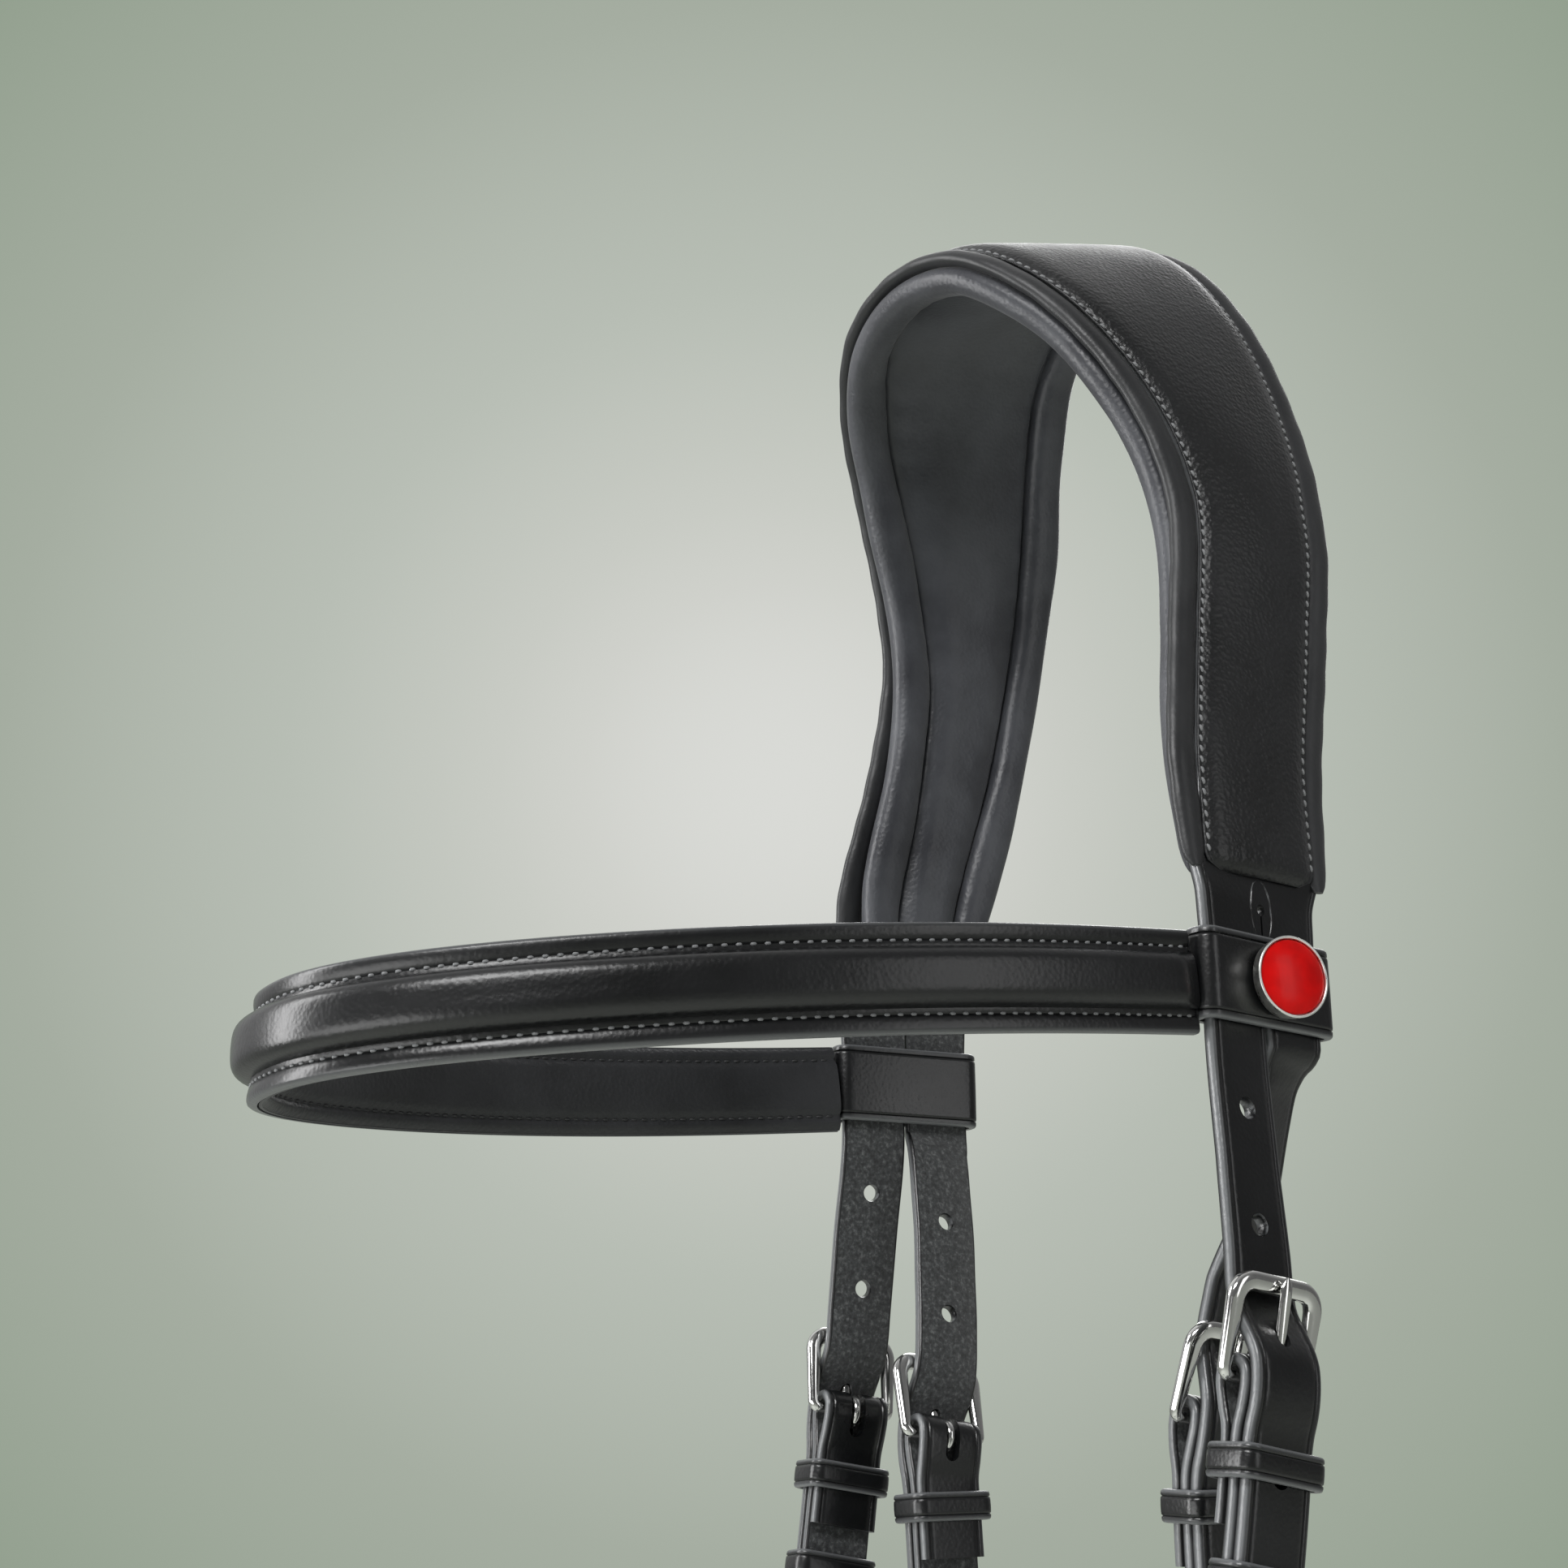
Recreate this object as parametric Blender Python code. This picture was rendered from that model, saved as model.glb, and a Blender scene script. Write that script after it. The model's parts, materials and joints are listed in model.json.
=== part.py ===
"""Bitless bridle of the side-pull kind, in black leather with steel buckles.

Metres, +Z up, +X the horse's left (near) side, -Y the front. The origin is the poll seat: the middle of the
crown's lining, where the bridle rests behind the ears. Heights of the crown are measured from the browband.
"""

import math

import bmesh
import bpy
import numpy as np
from mathutils import Matrix, Vector

# Driving sizes
CROWN_HALF_WIDTH = 0.060
CROWN_DEPTH = 0.040
CROWN_RISE_FRONT = 0.1752
CROWN_RISE_REAR = 0.1970
BROWBAND_DROP = 0.1810
NECK_AFT = 0.0025
NECK_FLARE = 0.0046
BAND_END_INSET = 0.0001
NECK_HALF_GAP = CROWN_HALF_WIDTH + NECK_FLARE
BROWBAND_WIDTH = 2 * (NECK_HALF_GAP - BAND_END_INSET)
BROWBAND_DEPTH = 0.179
STRAP_WIDTH = 0.0161
STRAP_THICKNESS = 0.0026
RING_RADIUS = 0.020
RING_HALF_GAP = 0.060
RING_DROP = 0.340
RING_FORWARD = 0.048

# Clearances shared by all the pieces
GAP = 0.0003
SLIP = 0.0005
OVERRUN = 0.002

# Leather and metal stock
PLY = 0.0024
KEEPER_PLY = 0.0016
WIRE = 0.0026
RING_WIRE = 0.005

# How finely the surfaces are cut
CROWN_STATIONS = 33
BAND_STATIONS = 31
NOSE_STATIONS = 27
FOLD_STEPS = 6
WIRE_SIDES = 6

LEFT = 1
RIGHT = -1
SIDES = ((LEFT, "left"), (RIGHT, "right"))


def clear_scene():
    for obj in list(bpy.data.objects):
        bpy.data.objects.remove(obj, do_unlink=True)


# Materials, one for each node
BLACK_LEATHER = ((0.022, 0.024, 0.026), 0.42, 0.0)
SOFT_LEATHER = ((0.032, 0.034, 0.042), 0.60, 0.0)
FOAM = ((0.10, 0.10, 0.10), 0.95, 0.0)
STEEL = ((0.72, 0.72, 0.71), 0.18, 1.0)
RED_ENAMEL = ((0.80, 0.004, 0.006), 0.12, 0.0)


def finish_of(name, finish):
    colour, roughness, metallic = finish
    material = bpy.data.materials.new(name + "_finish")
    material.use_nodes = True
    shader = material.node_tree.nodes["Principled BSDF"]
    shader.inputs["Base Color"].default_value = (*colour, 1.0)
    shader.inputs["Roughness"].default_value = roughness
    shader.inputs["Metallic"].default_value = metallic
    return material


# Curves and lofts
def smooth_curve(points, count):
    """Smooth curve through the points, resampled to even steps along its length."""
    points = np.asarray(points, float)
    steps = np.linalg.norm(np.diff(points, axis=0), axis=1)
    slopes = np.gradient(points, np.concatenate([[0], np.cumsum(steps)]), axis=0)
    pieces = []
    fine = np.linspace(0, 1, 24, endpoint=False)[:, None]
    for index, step in enumerate(steps):
        pieces.append(
            points[index] * (2 * fine**3 - 3 * fine**2 + 1)
            + slopes[index] * step * (fine**3 - 2 * fine**2 + fine)
            + points[index + 1] * (3 * fine**2 - 2 * fine**3)
            + slopes[index + 1] * step * (fine**3 - fine**2)
        )
    return even_steps(np.vstack([*pieces, points[-1:]]), count)


def even_steps(curve, count):
    steps = np.linalg.norm(np.diff(curve, axis=0), axis=1)
    length = np.concatenate([[0], np.cumsum(steps)])
    at = np.linspace(0, length[-1], count)
    return np.stack([np.interp(at, length, axis) for axis in curve.T], axis=1)


def unit(vectors):
    vectors = np.asarray(vectors, float)
    return vectors / np.linalg.norm(vectors, axis=-1, keepdims=True)


def loft(rings, closed=False, lean=None):
    """One closed body over rings of points: open ends get flat caps, and a closed loop joins its last ring.

    lean holds each ring point's place across the strap. Every face is split the same way across the strap, so
    that two layers that lie on each other twist alike.
    """
    mesh = bmesh.new()
    made = [[mesh.verts.new(point) for point in ring] for ring in rings]
    pairs = list(zip(made, made[1:]))
    if closed:
        pairs.append((made[-1], made[0]))
    for first, second in pairs:
        for index in range(len(first)):
            after = (index + 1) % len(first)
            a, b, c, d = first[index], first[after], second[after], second[index]
            if lean is None:
                mesh.faces.new((a, b, c, d))
            elif lean[after] >= lean[index]:
                mesh.faces.new((a, b, c))
                mesh.faces.new((a, c, d))
            else:
                mesh.faces.new((a, b, d))
                mesh.faces.new((b, c, d))
    if not closed:
        mesh.faces.new(made[0])
        mesh.faces.new(made[-1])
    bmesh.ops.recalc_face_normals(mesh, faces=mesh.faces)
    return mesh


def swept(centres, across, outward, sections, closed=False):
    """Rings of (across, outward) section points set on each station of a path, then lofted."""
    rings = []
    for centre, side, out, section in zip(centres, across, outward, sections):
        rings.append([centre + side * a + out * b for a, b in section])
    return loft(rings, closed, [a for a, b in sections[0]])


def flat_section(width, thickness, corner):
    """A strap's section with its outer corners taken off."""
    half = width / 2
    rise = thickness / 2
    return [
        (-half, -rise),
        (half, -rise),
        (half, rise - corner),
        (half - corner, rise),
        (-half + corner, rise),
        (-half, rise - corner),
    ]


def round_section(radius, sides=WIRE_SIDES, wide_share=1.0):
    angles = [2 * math.pi * (index + 0.5) / sides for index in range(sides)]
    return [(radius * wide_share * math.cos(turn), radius * math.sin(turn)) for turn in angles]


# Objects
def add_node(name, mesh, finish, parent=None, matrix=None, smooth_angle=40):
    """Turns a bmesh or a finished mesh into a named piece with its own material."""
    if isinstance(mesh, bmesh.types.BMesh):
        data = bpy.data.meshes.new(name)
        mesh.to_mesh(data)
        mesh.free()
    else:
        data = mesh.copy()
    data.materials.clear()
    data.materials.append(finish_of(name, finish))
    data.shade_smooth()
    data.set_sharp_from_angle(angle=math.radians(smooth_angle))
    piece = bpy.data.objects.new(name, data)
    bpy.context.scene.collection.objects.link(piece)
    seat(piece, parent, matrix or Matrix())
    return piece


def seat(piece, parent, matrix):
    """Places a piece at a world matrix, under the empty that carries its joint's axis."""
    if parent is None:
        piece.matrix_world = matrix
        return
    piece.parent = parent
    piece.matrix_parent_inverse = parent_place[parent.name].inverted()
    piece.matrix_basis = matrix


parent_place = {}


def add_axis(name, place, parent=None):
    """An empty on a joint's axis. It holds the pieces that move about it."""
    axis = bpy.data.objects.new(name, None)
    axis.empty_display_size = STRAP_WIDTH
    bpy.context.scene.collection.objects.link(axis)
    matrix = Matrix.Translation(Vector(place))
    seat(axis, parent, matrix)
    parent_place[axis.name] = matrix
    return axis


def cut(piece, cutter_mesh, matrix=None):
    """Cuts a hidden shape out of a piece with an exact Boolean."""
    data = bpy.data.meshes.new(piece.name + "_cutter")
    cutter_mesh.to_mesh(data)
    cutter_mesh.free()
    cutter = bpy.data.objects.new(piece.name + "_cutter", data)
    bpy.context.scene.collection.objects.link(cutter)
    cutter.matrix_world = matrix or Matrix()
    cutter.hide_render = True
    cutter.display_type = "WIRE"
    opening = piece.modifiers.new("opening", "BOOLEAN")
    opening.object = cutter
    opening.operation = "DIFFERENCE"
    opening.solver = "EXACT"


# Crown: a padded anatomical headpiece. Shares of its half width, depth and rise, from the leg up to the poll
FRONT_EDGE_SHARES = (
    (1.053, -0.345, 0.123),
    (1.017, -0.310, 0.257),
    (0.938, -0.195, 0.445),
    (0.908, -0.160, 0.571),
    (0.868, -0.260, 0.690),
    (0.767, -0.490, 0.811),
    (0.597, -0.760, 0.909),
    (0.353, -0.950, 0.975),
    (0.000, -1.012, 1.000),
)
REAR_EDGE_SHARES = (
    (1.017, 0.490, 0.107),
    (0.983, 0.600, 0.228),
    (0.950, 0.820, 0.401),
    (0.925, 0.975, 0.558),
    (0.800, 0.992, 0.710),
    (0.650, 0.902, 0.845),
    (0.488, 0.818, 0.928),
    (0.260, 0.775, 0.984),
    (0.000, 0.750, 1.000),
)
ROLL_WIDTH = 0.0098
ROLL_HEIGHT = 0.0064
LINING_SKIN = 0.0022
LINING_PUFF = 0.0012
PIPING_HALF_WIDTH = 0.0030
PIPING_HALF_HEIGHT = 0.0018
PIPING_FOOT = 0.0010
PANEL_THICKNESS = 0.0018
PANEL_SEAM_INSET = 0.0024
PANEL_MARGIN = 0.0080
NECK_TILT = math.radians(8.2)
NECK_TOP = 0.0168
NECK_BOTTOM = 0.0095
NECK_SPLIT = 0.0005
NECK_WIDTH = 2 * STRAP_WIDTH + NECK_SPLIT
SPLIT_HOLE_RADIUS = 0.0011
SPLIT_HOLE_RISE = 0.0150


def crown_edge(shares, rise):
    """Both legs of one edge, from the right leg over the poll to the left leg."""
    size = np.array([CROWN_HALF_WIDTH, CROWN_DEPTH, rise])
    left = np.array(shares) * size
    right = left[:-1] * np.array([RIGHT, 1, 1])
    edge = smooth_curve(np.vstack([right, left[::-1]]), CROWN_STATIONS)
    return edge + np.array([0, 0, -BROWBAND_DROP])


def crown_frame():
    """Centre, across, outward and width of the crown at each station."""
    front = crown_edge(FRONT_EDGE_SHARES, CROWN_RISE_FRONT)
    rear = crown_edge(REAR_EDGE_SHARES, CROWN_RISE_REAR)
    centre = (front + rear) / 2
    across = unit(rear - front)
    along = unit(np.gradient(centre, axis=0))
    outward = unit(np.cross(along, across))
    return centre, across, outward, np.linalg.norm(rear - front, axis=1)


def panel_width(width):
    return max(NECK_WIDTH - 2 * PIPING_FOOT, width - 2 * PANEL_MARGIN)


def piping_half_width(width):
    """The piping fills the edge beside the panel and narrows with it towards the foot of each leg."""
    beside = (width - panel_width(width)) / 2
    return min(PIPING_HALF_WIDTH, max(PIPING_FOOT, beside) / 2)


# Levels through the crown's thickness, outward from the middle of its padding
STRAP_LEVEL = GAP * 3
PANEL_LEVEL = STRAP_LEVEL + STRAP_THICKNESS + GAP
ROLL_TOP = STRAP_LEVEL - GAP
ROLL_MIDDLE = ROLL_TOP - ROLL_HEIGHT / 2


def lining_section(width):
    """Soft lining: a puffed middle between sewn channels, and a stuffed roll along each edge."""
    half = width / 2
    reach = ROLL_WIDTH
    inner = half - reach
    tray = ROLL_MIDDLE + ROLL_HEIGHT * 0.05
    groove = tray - LINING_SKIN / 2
    outer_shares = (
        (-0.06, 0.05),
        (0.10, 0.28),
        (0.30, 0.44),
        (0.52, 0.50),
        (0.78, 0.40),
        (0.95, 0.19),
        (1.00, -0.03),
        (0.93, -0.27),
        (0.72, -0.46),
        (0.45, -0.50),
        (0.18, -0.36),
    )
    right = [(inner + reach * a, ROLL_MIDDLE + ROLL_HEIGHT * b) for a, b in outer_shares]
    right.append((inner, groove))
    right.append((inner * 0.72, groove - LINING_PUFF * 0.75))
    right.append((inner * 0.36, groove - LINING_PUFF))
    return right + [(-a, b) for a, b in reversed(right)]


def padding_section(width):
    """The foam that fills the tray between the two rolls, under the strap."""
    inner = width / 2 - ROLL_WIDTH
    floor = ROLL_MIDDLE + ROLL_HEIGHT * 0.05 + GAP
    right = [
        (inner + ROLL_WIDTH * 0.14, ROLL_TOP),
        (inner - ROLL_WIDTH * 0.03, ROLL_MIDDLE + ROLL_HEIGHT * 0.20),
        (inner - ROLL_WIDTH * 0.10, floor),
    ]
    return right + [(-a, b) for a, b in reversed(right)]


def panel_section(width):
    """Outer panel, drawn down along its two seams and puffed between them."""
    half = panel_width(width) / 2
    seam = half - PANEL_SEAM_INSET
    low = PANEL_LEVEL
    top = low + PANEL_THICKNESS
    right = [
        (half, low),
        (half, top - PANEL_THICKNESS * 0.3),
        (half - PANEL_SEAM_INSET * 0.3, top - PANEL_THICKNESS * 0.1),
        (seam, top - PANEL_THICKNESS * 0.4),
        (seam - PANEL_SEAM_INSET, top + PANEL_THICKNESS * 0.1),
        (seam * 0.35, top + PANEL_THICKNESS * 0.35),
    ]
    return right + [(-a, b) for a, b in reversed(right)]


def neck_frame(side, height):
    """Centre, across and outward of a leg's neck, where the browband's loop goes round it."""
    centre = np.array([side * NECK_HALF_GAP, NECK_AFT, height - BROWBAND_DROP])
    across = np.array([-side * math.sin(NECK_TILT), math.cos(NECK_TILT), 0])
    outward = np.array([side * math.cos(NECK_TILT), math.sin(NECK_TILT), 0])
    return centre, across, outward


def headpiece_path():
    """The strap under the panel, with a straight neck at the foot of each leg."""
    centre, across, outward, width = crown_frame()
    middle = STRAP_LEVEL + STRAP_THICKNESS / 2
    centres = list(centre + outward * middle)
    sides = list(across)
    outs = list(outward)
    widths = [panel_width(w) for w in width]
    for side, first in ((RIGHT, True), (LEFT, False)):
        for height in (NECK_TOP, -NECK_BOTTOM):
            spot, sideways, out = neck_frame(side, height)
            where = 0 if first else len(centres)
            centres.insert(where, spot)
            sides.insert(where, sideways)
            outs.insert(where, out)
            widths.insert(where, NECK_WIDTH)
    return centres, sides, outs, widths


def add_headpiece():
    centre, across, outward, width = crown_frame()
    lining = swept(centre, across, outward, [lining_section(w) for w in width])
    add_node("crown_lining", lining, SOFT_LEATHER)
    padding = swept(centre, across, outward, [padding_section(w) for w in width])
    add_node("crown_padding", padding, FOAM)
    panel = swept(centre, across, outward, [panel_section(w) for w in width])
    add_node("crown_panel", panel, BLACK_LEATHER)
    wide = [piping_half_width(w) for w in width]
    beads = [round_section(PIPING_HALF_HEIGHT, wide_share=half / PIPING_HALF_HEIGHT) for half in wide]
    rise = ROLL_TOP + GAP + PIPING_HALF_HEIGHT
    for name, turn in (("front", -1), ("rear", 1)):
        edge = np.array([panel_width(w) / 2 + GAP + half for w, half in zip(width, wide)])[:, None]
        path = centre + across * edge * turn + outward * rise
        piping = swept(path, across, outward, beads)
        add_node("crown_piping_" + name, piping, BLACK_LEATHER)
    centres, sides, outs, widths = headpiece_path()
    corner = STRAP_THICKNESS / 4
    sections = [flat_section(w, STRAP_THICKNESS, corner) for w in widths]
    strap = add_node("headpiece_strap", swept(centres, sides, outs, sections), BLACK_LEATHER)
    holes = bmesh.new()
    for side, _ in SIDES:
        spot, sideways, out = neck_frame(side, SPLIT_HOLE_RISE)
        punch(holes, spot, sideways, out, SPLIT_HOLE_RADIUS, STRAP_THICKNESS)
    cut(strap, holes)


def punch(mesh, centre, across, outward, radius, depth, sides=8, stretch=0.0):
    """Adds a round or, with a stretch, a slotted cutter through a strap to a cutter mesh."""
    along = np.cross(across, outward)
    rings = []
    for level in (-depth / 2 - OVERRUN, depth / 2 + OVERRUN):
        ring = []
        for index in range(sides):
            turn = 2 * math.pi * (index + 0.5) / sides
            reach = radius * math.sin(turn) + math.copysign(stretch / 2, math.sin(turn))
            ring.append(centre + across * radius * math.cos(turn) + along * reach + outward * level)
        rings.append(ring)
    made = [[mesh.verts.new(point) for point in ring] for ring in rings]
    for index in range(sides):
        after = (index + 1) % sides
        mesh.faces.new((made[0][index], made[0][after], made[1][after], made[1][index]))
    mesh.faces.new(made[0])
    mesh.faces.new(made[1])
    bmesh.ops.recalc_face_normals(mesh, faces=mesh.faces)


# Browband: a padded band with a raised middle between two rows of sewing, and a loop at each end
BAND_SQUARENESS = 2.29
BAND_BULGE_SHARE = 0.10
BAND_SLOPE_SHARE = 0.0995
BAND_HEIGHT = 0.0204
BAND_FACING = 0.0020
BAND_RAISE = 0.0034
BAND_LINING = 0.0028
RAISED_SHARE = 0.55
LOOP_HEIGHT = 0.0182
BAND_STANDOFF = 0.0008
LOOP_PLY = 0.0019
MEDALLION_RADIUS = 0.0086
MEDALLION_RISE = 0.0034
MEDALLION_RIM = 0.0007
ENAMEL_RISE = 0.0006
MEDALLION_SIDES = 24
LOOP_ROUND_STEPS = 2
LOOP_CORNER = 0.0012


def band_curve(width, depth, squareness, bulge, slope, inset, run=0.0):
    """A band's middle line from the right end round the front to the left end, with its frame at stations.

    Each half is a quarter of a superellipse, a little wider between its ends, and it sinks to the front.
    run is the length of straight band before it begins to curve.
    """
    turn = np.linspace(-math.pi / 2, math.pi / 2, 181)
    cosine = np.maximum(np.cos(turn), 0)
    sine = np.sin(turn)
    forward = cosine ** (2 / squareness)
    sideways = np.sign(sine) * np.abs(sine) ** (2 / squareness) * (1 + bulge * np.sin(math.pi * forward))
    reach = forward * (depth - run) + run
    curve = np.stack([sideways * width / 2, -reach, -reach * slope], axis=1)
    if run:
        first, last = curve[0] * np.array([1, 0, 0]), curve[-1] * np.array([1, 0, 0])
        curve = np.vstack([first, curve, last])
    steps = np.linalg.norm(np.diff(curve, axis=0), axis=1)
    length = np.concatenate([[0], np.cumsum(steps)])
    at = np.linspace(inset, length[-1] - inset, BAND_STATIONS)
    centre = np.stack([np.interp(at, length, axis) for axis in curve.T], axis=1)
    fine = np.gradient(curve, length, axis=0)
    along = unit(np.stack([np.interp(at, length, axis) for axis in fine.T], axis=1))
    outward = unit(np.cross(np.array([0, 0, 1.0]), -along))
    return centre, np.cross(outward, -along), outward


def facing_section(height, thickness, rise, seat_level):
    """Facing leather: flat flanges and a raised middle, hollow behind for its core."""
    half = height / 2
    raised = half * RAISED_SHARE
    low = seat_level
    top = seat_level + thickness
    inner = [
        (-half, low),
        (-raised + thickness * 0.5, low),
        (-raised * 0.55, low + rise * 0.60),
        (0, low + rise * 0.80),
        (raised * 0.55, low + rise * 0.60),
        (raised - thickness * 0.5, low),
        (half, low),
    ]
    outer = [
        (half, top - thickness * 0.25),
        (raised + thickness * 0.6, top),
        (raised, top + rise * 0.35),
        (raised * 0.62, top + rise * 0.85),
        (0, top + rise),
    ]
    return inner + outer + [(-a, b) for a, b in reversed(outer[:-1])]


def core_section(height, thickness, rise, seat_level):
    """The round cord that fills the raised middle of a band."""
    raised = height / 2 * RAISED_SHARE
    low = seat_level + GAP / 2
    return [
        (-raised + thickness * 0.5 + GAP * 2, low),
        (raised - thickness * 0.5 - GAP * 2, low),
        (raised * 0.55 - GAP, low + rise * 0.60 - GAP * 2),
        (0, low + rise * 0.80 - GAP * 2),
        (-raised * 0.55 + GAP, low + rise * 0.60 - GAP * 2),
    ]


def soft_section(height, thickness, seat_level):
    """Soft lining, crowned towards the horse."""
    half = height / 2 - GAP
    low = seat_level - thickness
    return [
        (half, seat_level),
        (-half, seat_level),
        (-half, seat_level - thickness * 0.45),
        (-half * 0.86, low + thickness * 0.12),
        (0, low),
        (half * 0.86, low + thickness * 0.12),
        (half, seat_level - thickness * 0.45),
    ]


def browband_frame():
    inset = NECK_WIDTH / 2 + SLIP + LOOP_PLY + BAND_STANDOFF
    centre, across, outward = band_curve(
        BROWBAND_WIDTH, BROWBAND_DEPTH, BAND_SQUARENESS, BAND_BULGE_SHARE, BAND_SLOPE_SHARE, inset
    )
    return centre + np.array([0, NECK_AFT, -BROWBAND_DROP]), across, outward


def loop_ring_path(length, depth, radius):
    """Stations round a flat loop with rounded corners: (along, outward) places and the way each one faces."""
    run = length / 2 - radius
    rise = depth / 2 - radius
    path = []
    for start, level, first in ((1, -1, -90), (1, 1, 0), (-1, 1, 90), (-1, -1, 180)):
        for step in range(LOOP_ROUND_STEPS + 1):
            turn = math.radians(first + 90 * step / LOOP_ROUND_STEPS)
            facing = (math.cos(turn), math.sin(turn))
            path.append(((start * run + radius * facing[0], level * rise + radius * facing[1]), facing))
    return path


def strap_loop(inner_length, inner_depth, height, ply):
    """A leather loop about its own Z axis: its hollow is inner_length by inner_depth."""
    rings = []
    bevel = ply / 4
    path = loop_ring_path(inner_length + ply, inner_depth + ply, LOOP_CORNER + ply / 2)
    for (along, out), facing in path:
        ring = []
        for rise, level in (
            (-height / 2, -ply / 2),
            (height / 2, -ply / 2),
            (height / 2, ply / 2 - bevel),
            (height / 2 - bevel, ply / 2),
            (-height / 2 + bevel, ply / 2),
            (-height / 2, ply / 2 - bevel),
        ):
            ring.append((along + facing[0] * level, out + facing[1] * level, rise))
        rings.append(ring)
    return loft(rings, closed=True)


def turned(profile, sides):
    """A closed profile of (radius, height) points spun about Z. Its ends lie on the axis."""
    mesh = bmesh.new()
    edges = []
    points = [mesh.verts.new((radius, 0, height)) for radius, height in profile]
    for first, second in zip(points, points[1:]):
        edges.append(mesh.edges.new((first, second)))
    bmesh.ops.spin(
        mesh,
        geom=points + edges,
        cent=(0, 0, 0),
        axis=(0, 0, 1),
        angle=2 * math.pi,
        steps=sides,
        use_merge=True,
    )
    bmesh.ops.remove_doubles(mesh, verts=mesh.verts, dist=GAP / 100)
    bmesh.ops.recalc_face_normals(mesh, faces=mesh.faces)
    return mesh


def matrix_from(origin, x_axis, y_axis, z_axis):
    columns = np.stack([x_axis, y_axis, z_axis, origin], axis=1)
    return Matrix([list(row) for row in columns] + [[0, 0, 0, 1]])


def add_browband(axis):
    centre, across, outward = browband_frame()
    count = len(centre)
    low = -BAND_FACING / 2
    sizes = (BAND_HEIGHT, BAND_FACING, BAND_RAISE, low)
    facing = swept(centre, across, outward, [facing_section(*sizes)] * count)
    add_node("browband_facing", facing, BLACK_LEATHER, axis)
    add_node("browband_core", swept(centre, across, outward, [core_section(*sizes)] * count), FOAM, axis)
    soft = soft_section(BAND_HEIGHT, BAND_LINING, low - GAP)
    add_node("browband_lining", swept(centre, across, outward, [soft] * count), SOFT_LEATHER, axis)
    inner_depth = STRAP_THICKNESS + 2 * SLIP
    for side, word in SIDES:
        spot, sideways, out = neck_frame(side, 0)
        place = matrix_from(spot, sideways, out, np.cross(sideways, out))
        ring = strap_loop(NECK_WIDTH + 2 * SLIP, inner_depth, LOOP_HEIGHT, LOOP_PLY)
        add_node("browband_loop_" + word, ring, BLACK_LEATHER, axis, place)
        face = spot + out * (inner_depth / 2 + LOOP_PLY + GAP)
        upright = matrix_from(face, sideways, np.cross(out, sideways), out)
        add_node("medallion_" + word, medallion_cup(), STEEL, axis, upright)
        add_node("medallion_enamel_" + word, medallion_enamel(), RED_ENAMEL, axis, upright)


def medallion_cup():
    """Domed steel back with a thin rim, which holds the enamel."""
    floor = MEDALLION_RISE - ENAMEL_RISE * 2
    profile = [
        (0, 0),
        (MEDALLION_RADIUS * 0.72, 0),
        (MEDALLION_RADIUS * 0.94, MEDALLION_RISE * 0.30),
        (MEDALLION_RADIUS, MEDALLION_RISE * 0.72),
        (MEDALLION_RADIUS - MEDALLION_RIM * 0.3, MEDALLION_RISE),
        (MEDALLION_RADIUS - MEDALLION_RIM, MEDALLION_RISE),
        (MEDALLION_RADIUS - MEDALLION_RIM, floor),
        (0, floor),
    ]
    return turned(profile, MEDALLION_SIDES)


def medallion_enamel():
    floor = MEDALLION_RISE - ENAMEL_RISE * 2 + GAP
    radius = MEDALLION_RADIUS - MEDALLION_RIM - GAP
    crown = floor + ENAMEL_RISE
    profile = [(0, floor), (radius, floor), (radius, crown), (radius * 0.6, crown + GAP)]
    profile.append((0, crown + GAP * 1.4))
    return turned(profile, MEDALLION_SIDES)


# Strips: the line that a strap follows, with a frame at any length along it
class Strip:
    """A smooth line with its across and outward directions, read at a length from its start."""

    def __init__(self, points, across_hint, outward_hint=None, flip=1):
        self.line = smooth_curve(points, 361)
        steps = np.linalg.norm(np.diff(self.line, axis=0), axis=1)
        self.length_at = np.concatenate([[0], np.cumsum(steps)])
        self.length = self.length_at[-1]
        self.along = unit(np.gradient(self.line, axis=0))
        hint = np.broadcast_to(np.asarray(across_hint, float), np.shape(points))
        reach = np.concatenate([[0], np.cumsum(np.linalg.norm(np.diff(points, axis=0), axis=1))])
        share = self.length_at * reach[-1] / self.length
        hint = np.stack([np.interp(share, reach, axis) for axis in hint.T], axis=1)
        sideways = hint - self.along * np.sum(self.along * hint, axis=1)[:, None]
        self.across = unit(sideways)
        self.outward = np.cross(self.across, self.along) * flip

    def at(self, length):
        """Centre, along, across and outward at this length. Past an end the strip runs on straight."""
        inside = min(max(length, 0), self.length)
        values = []
        for field in (self.line, self.along, self.across, self.outward):
            values.append(np.array([np.interp(inside, self.length_at, axis) for axis in field.T]))
        centre, along, across, outward = values
        along, across, outward = unit(along), unit(across), unit(outward)
        return centre + along * (length - inside), along, across, outward


def strap_on(strip, path, thickness, corner_share=0.25):
    """A strap whose path is (length, level, width) stations on a strip. It may fold back on itself."""
    lengths = np.array([(length, level) for length, level, _ in path])
    heading = unit(np.gradient(lengths, axis=0))
    rings = []
    for (length, level, width), (run, climb) in zip(path, heading):
        centre, along, across, outward = strip.at(length)
        facing = outward * run - along * climb
        section = flat_section(width, thickness, thickness * corner_share)
        centre = centre + outward * level
        rings.append([centre + across * a + facing * b for a, b in section])
    return loft(rings)


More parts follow.
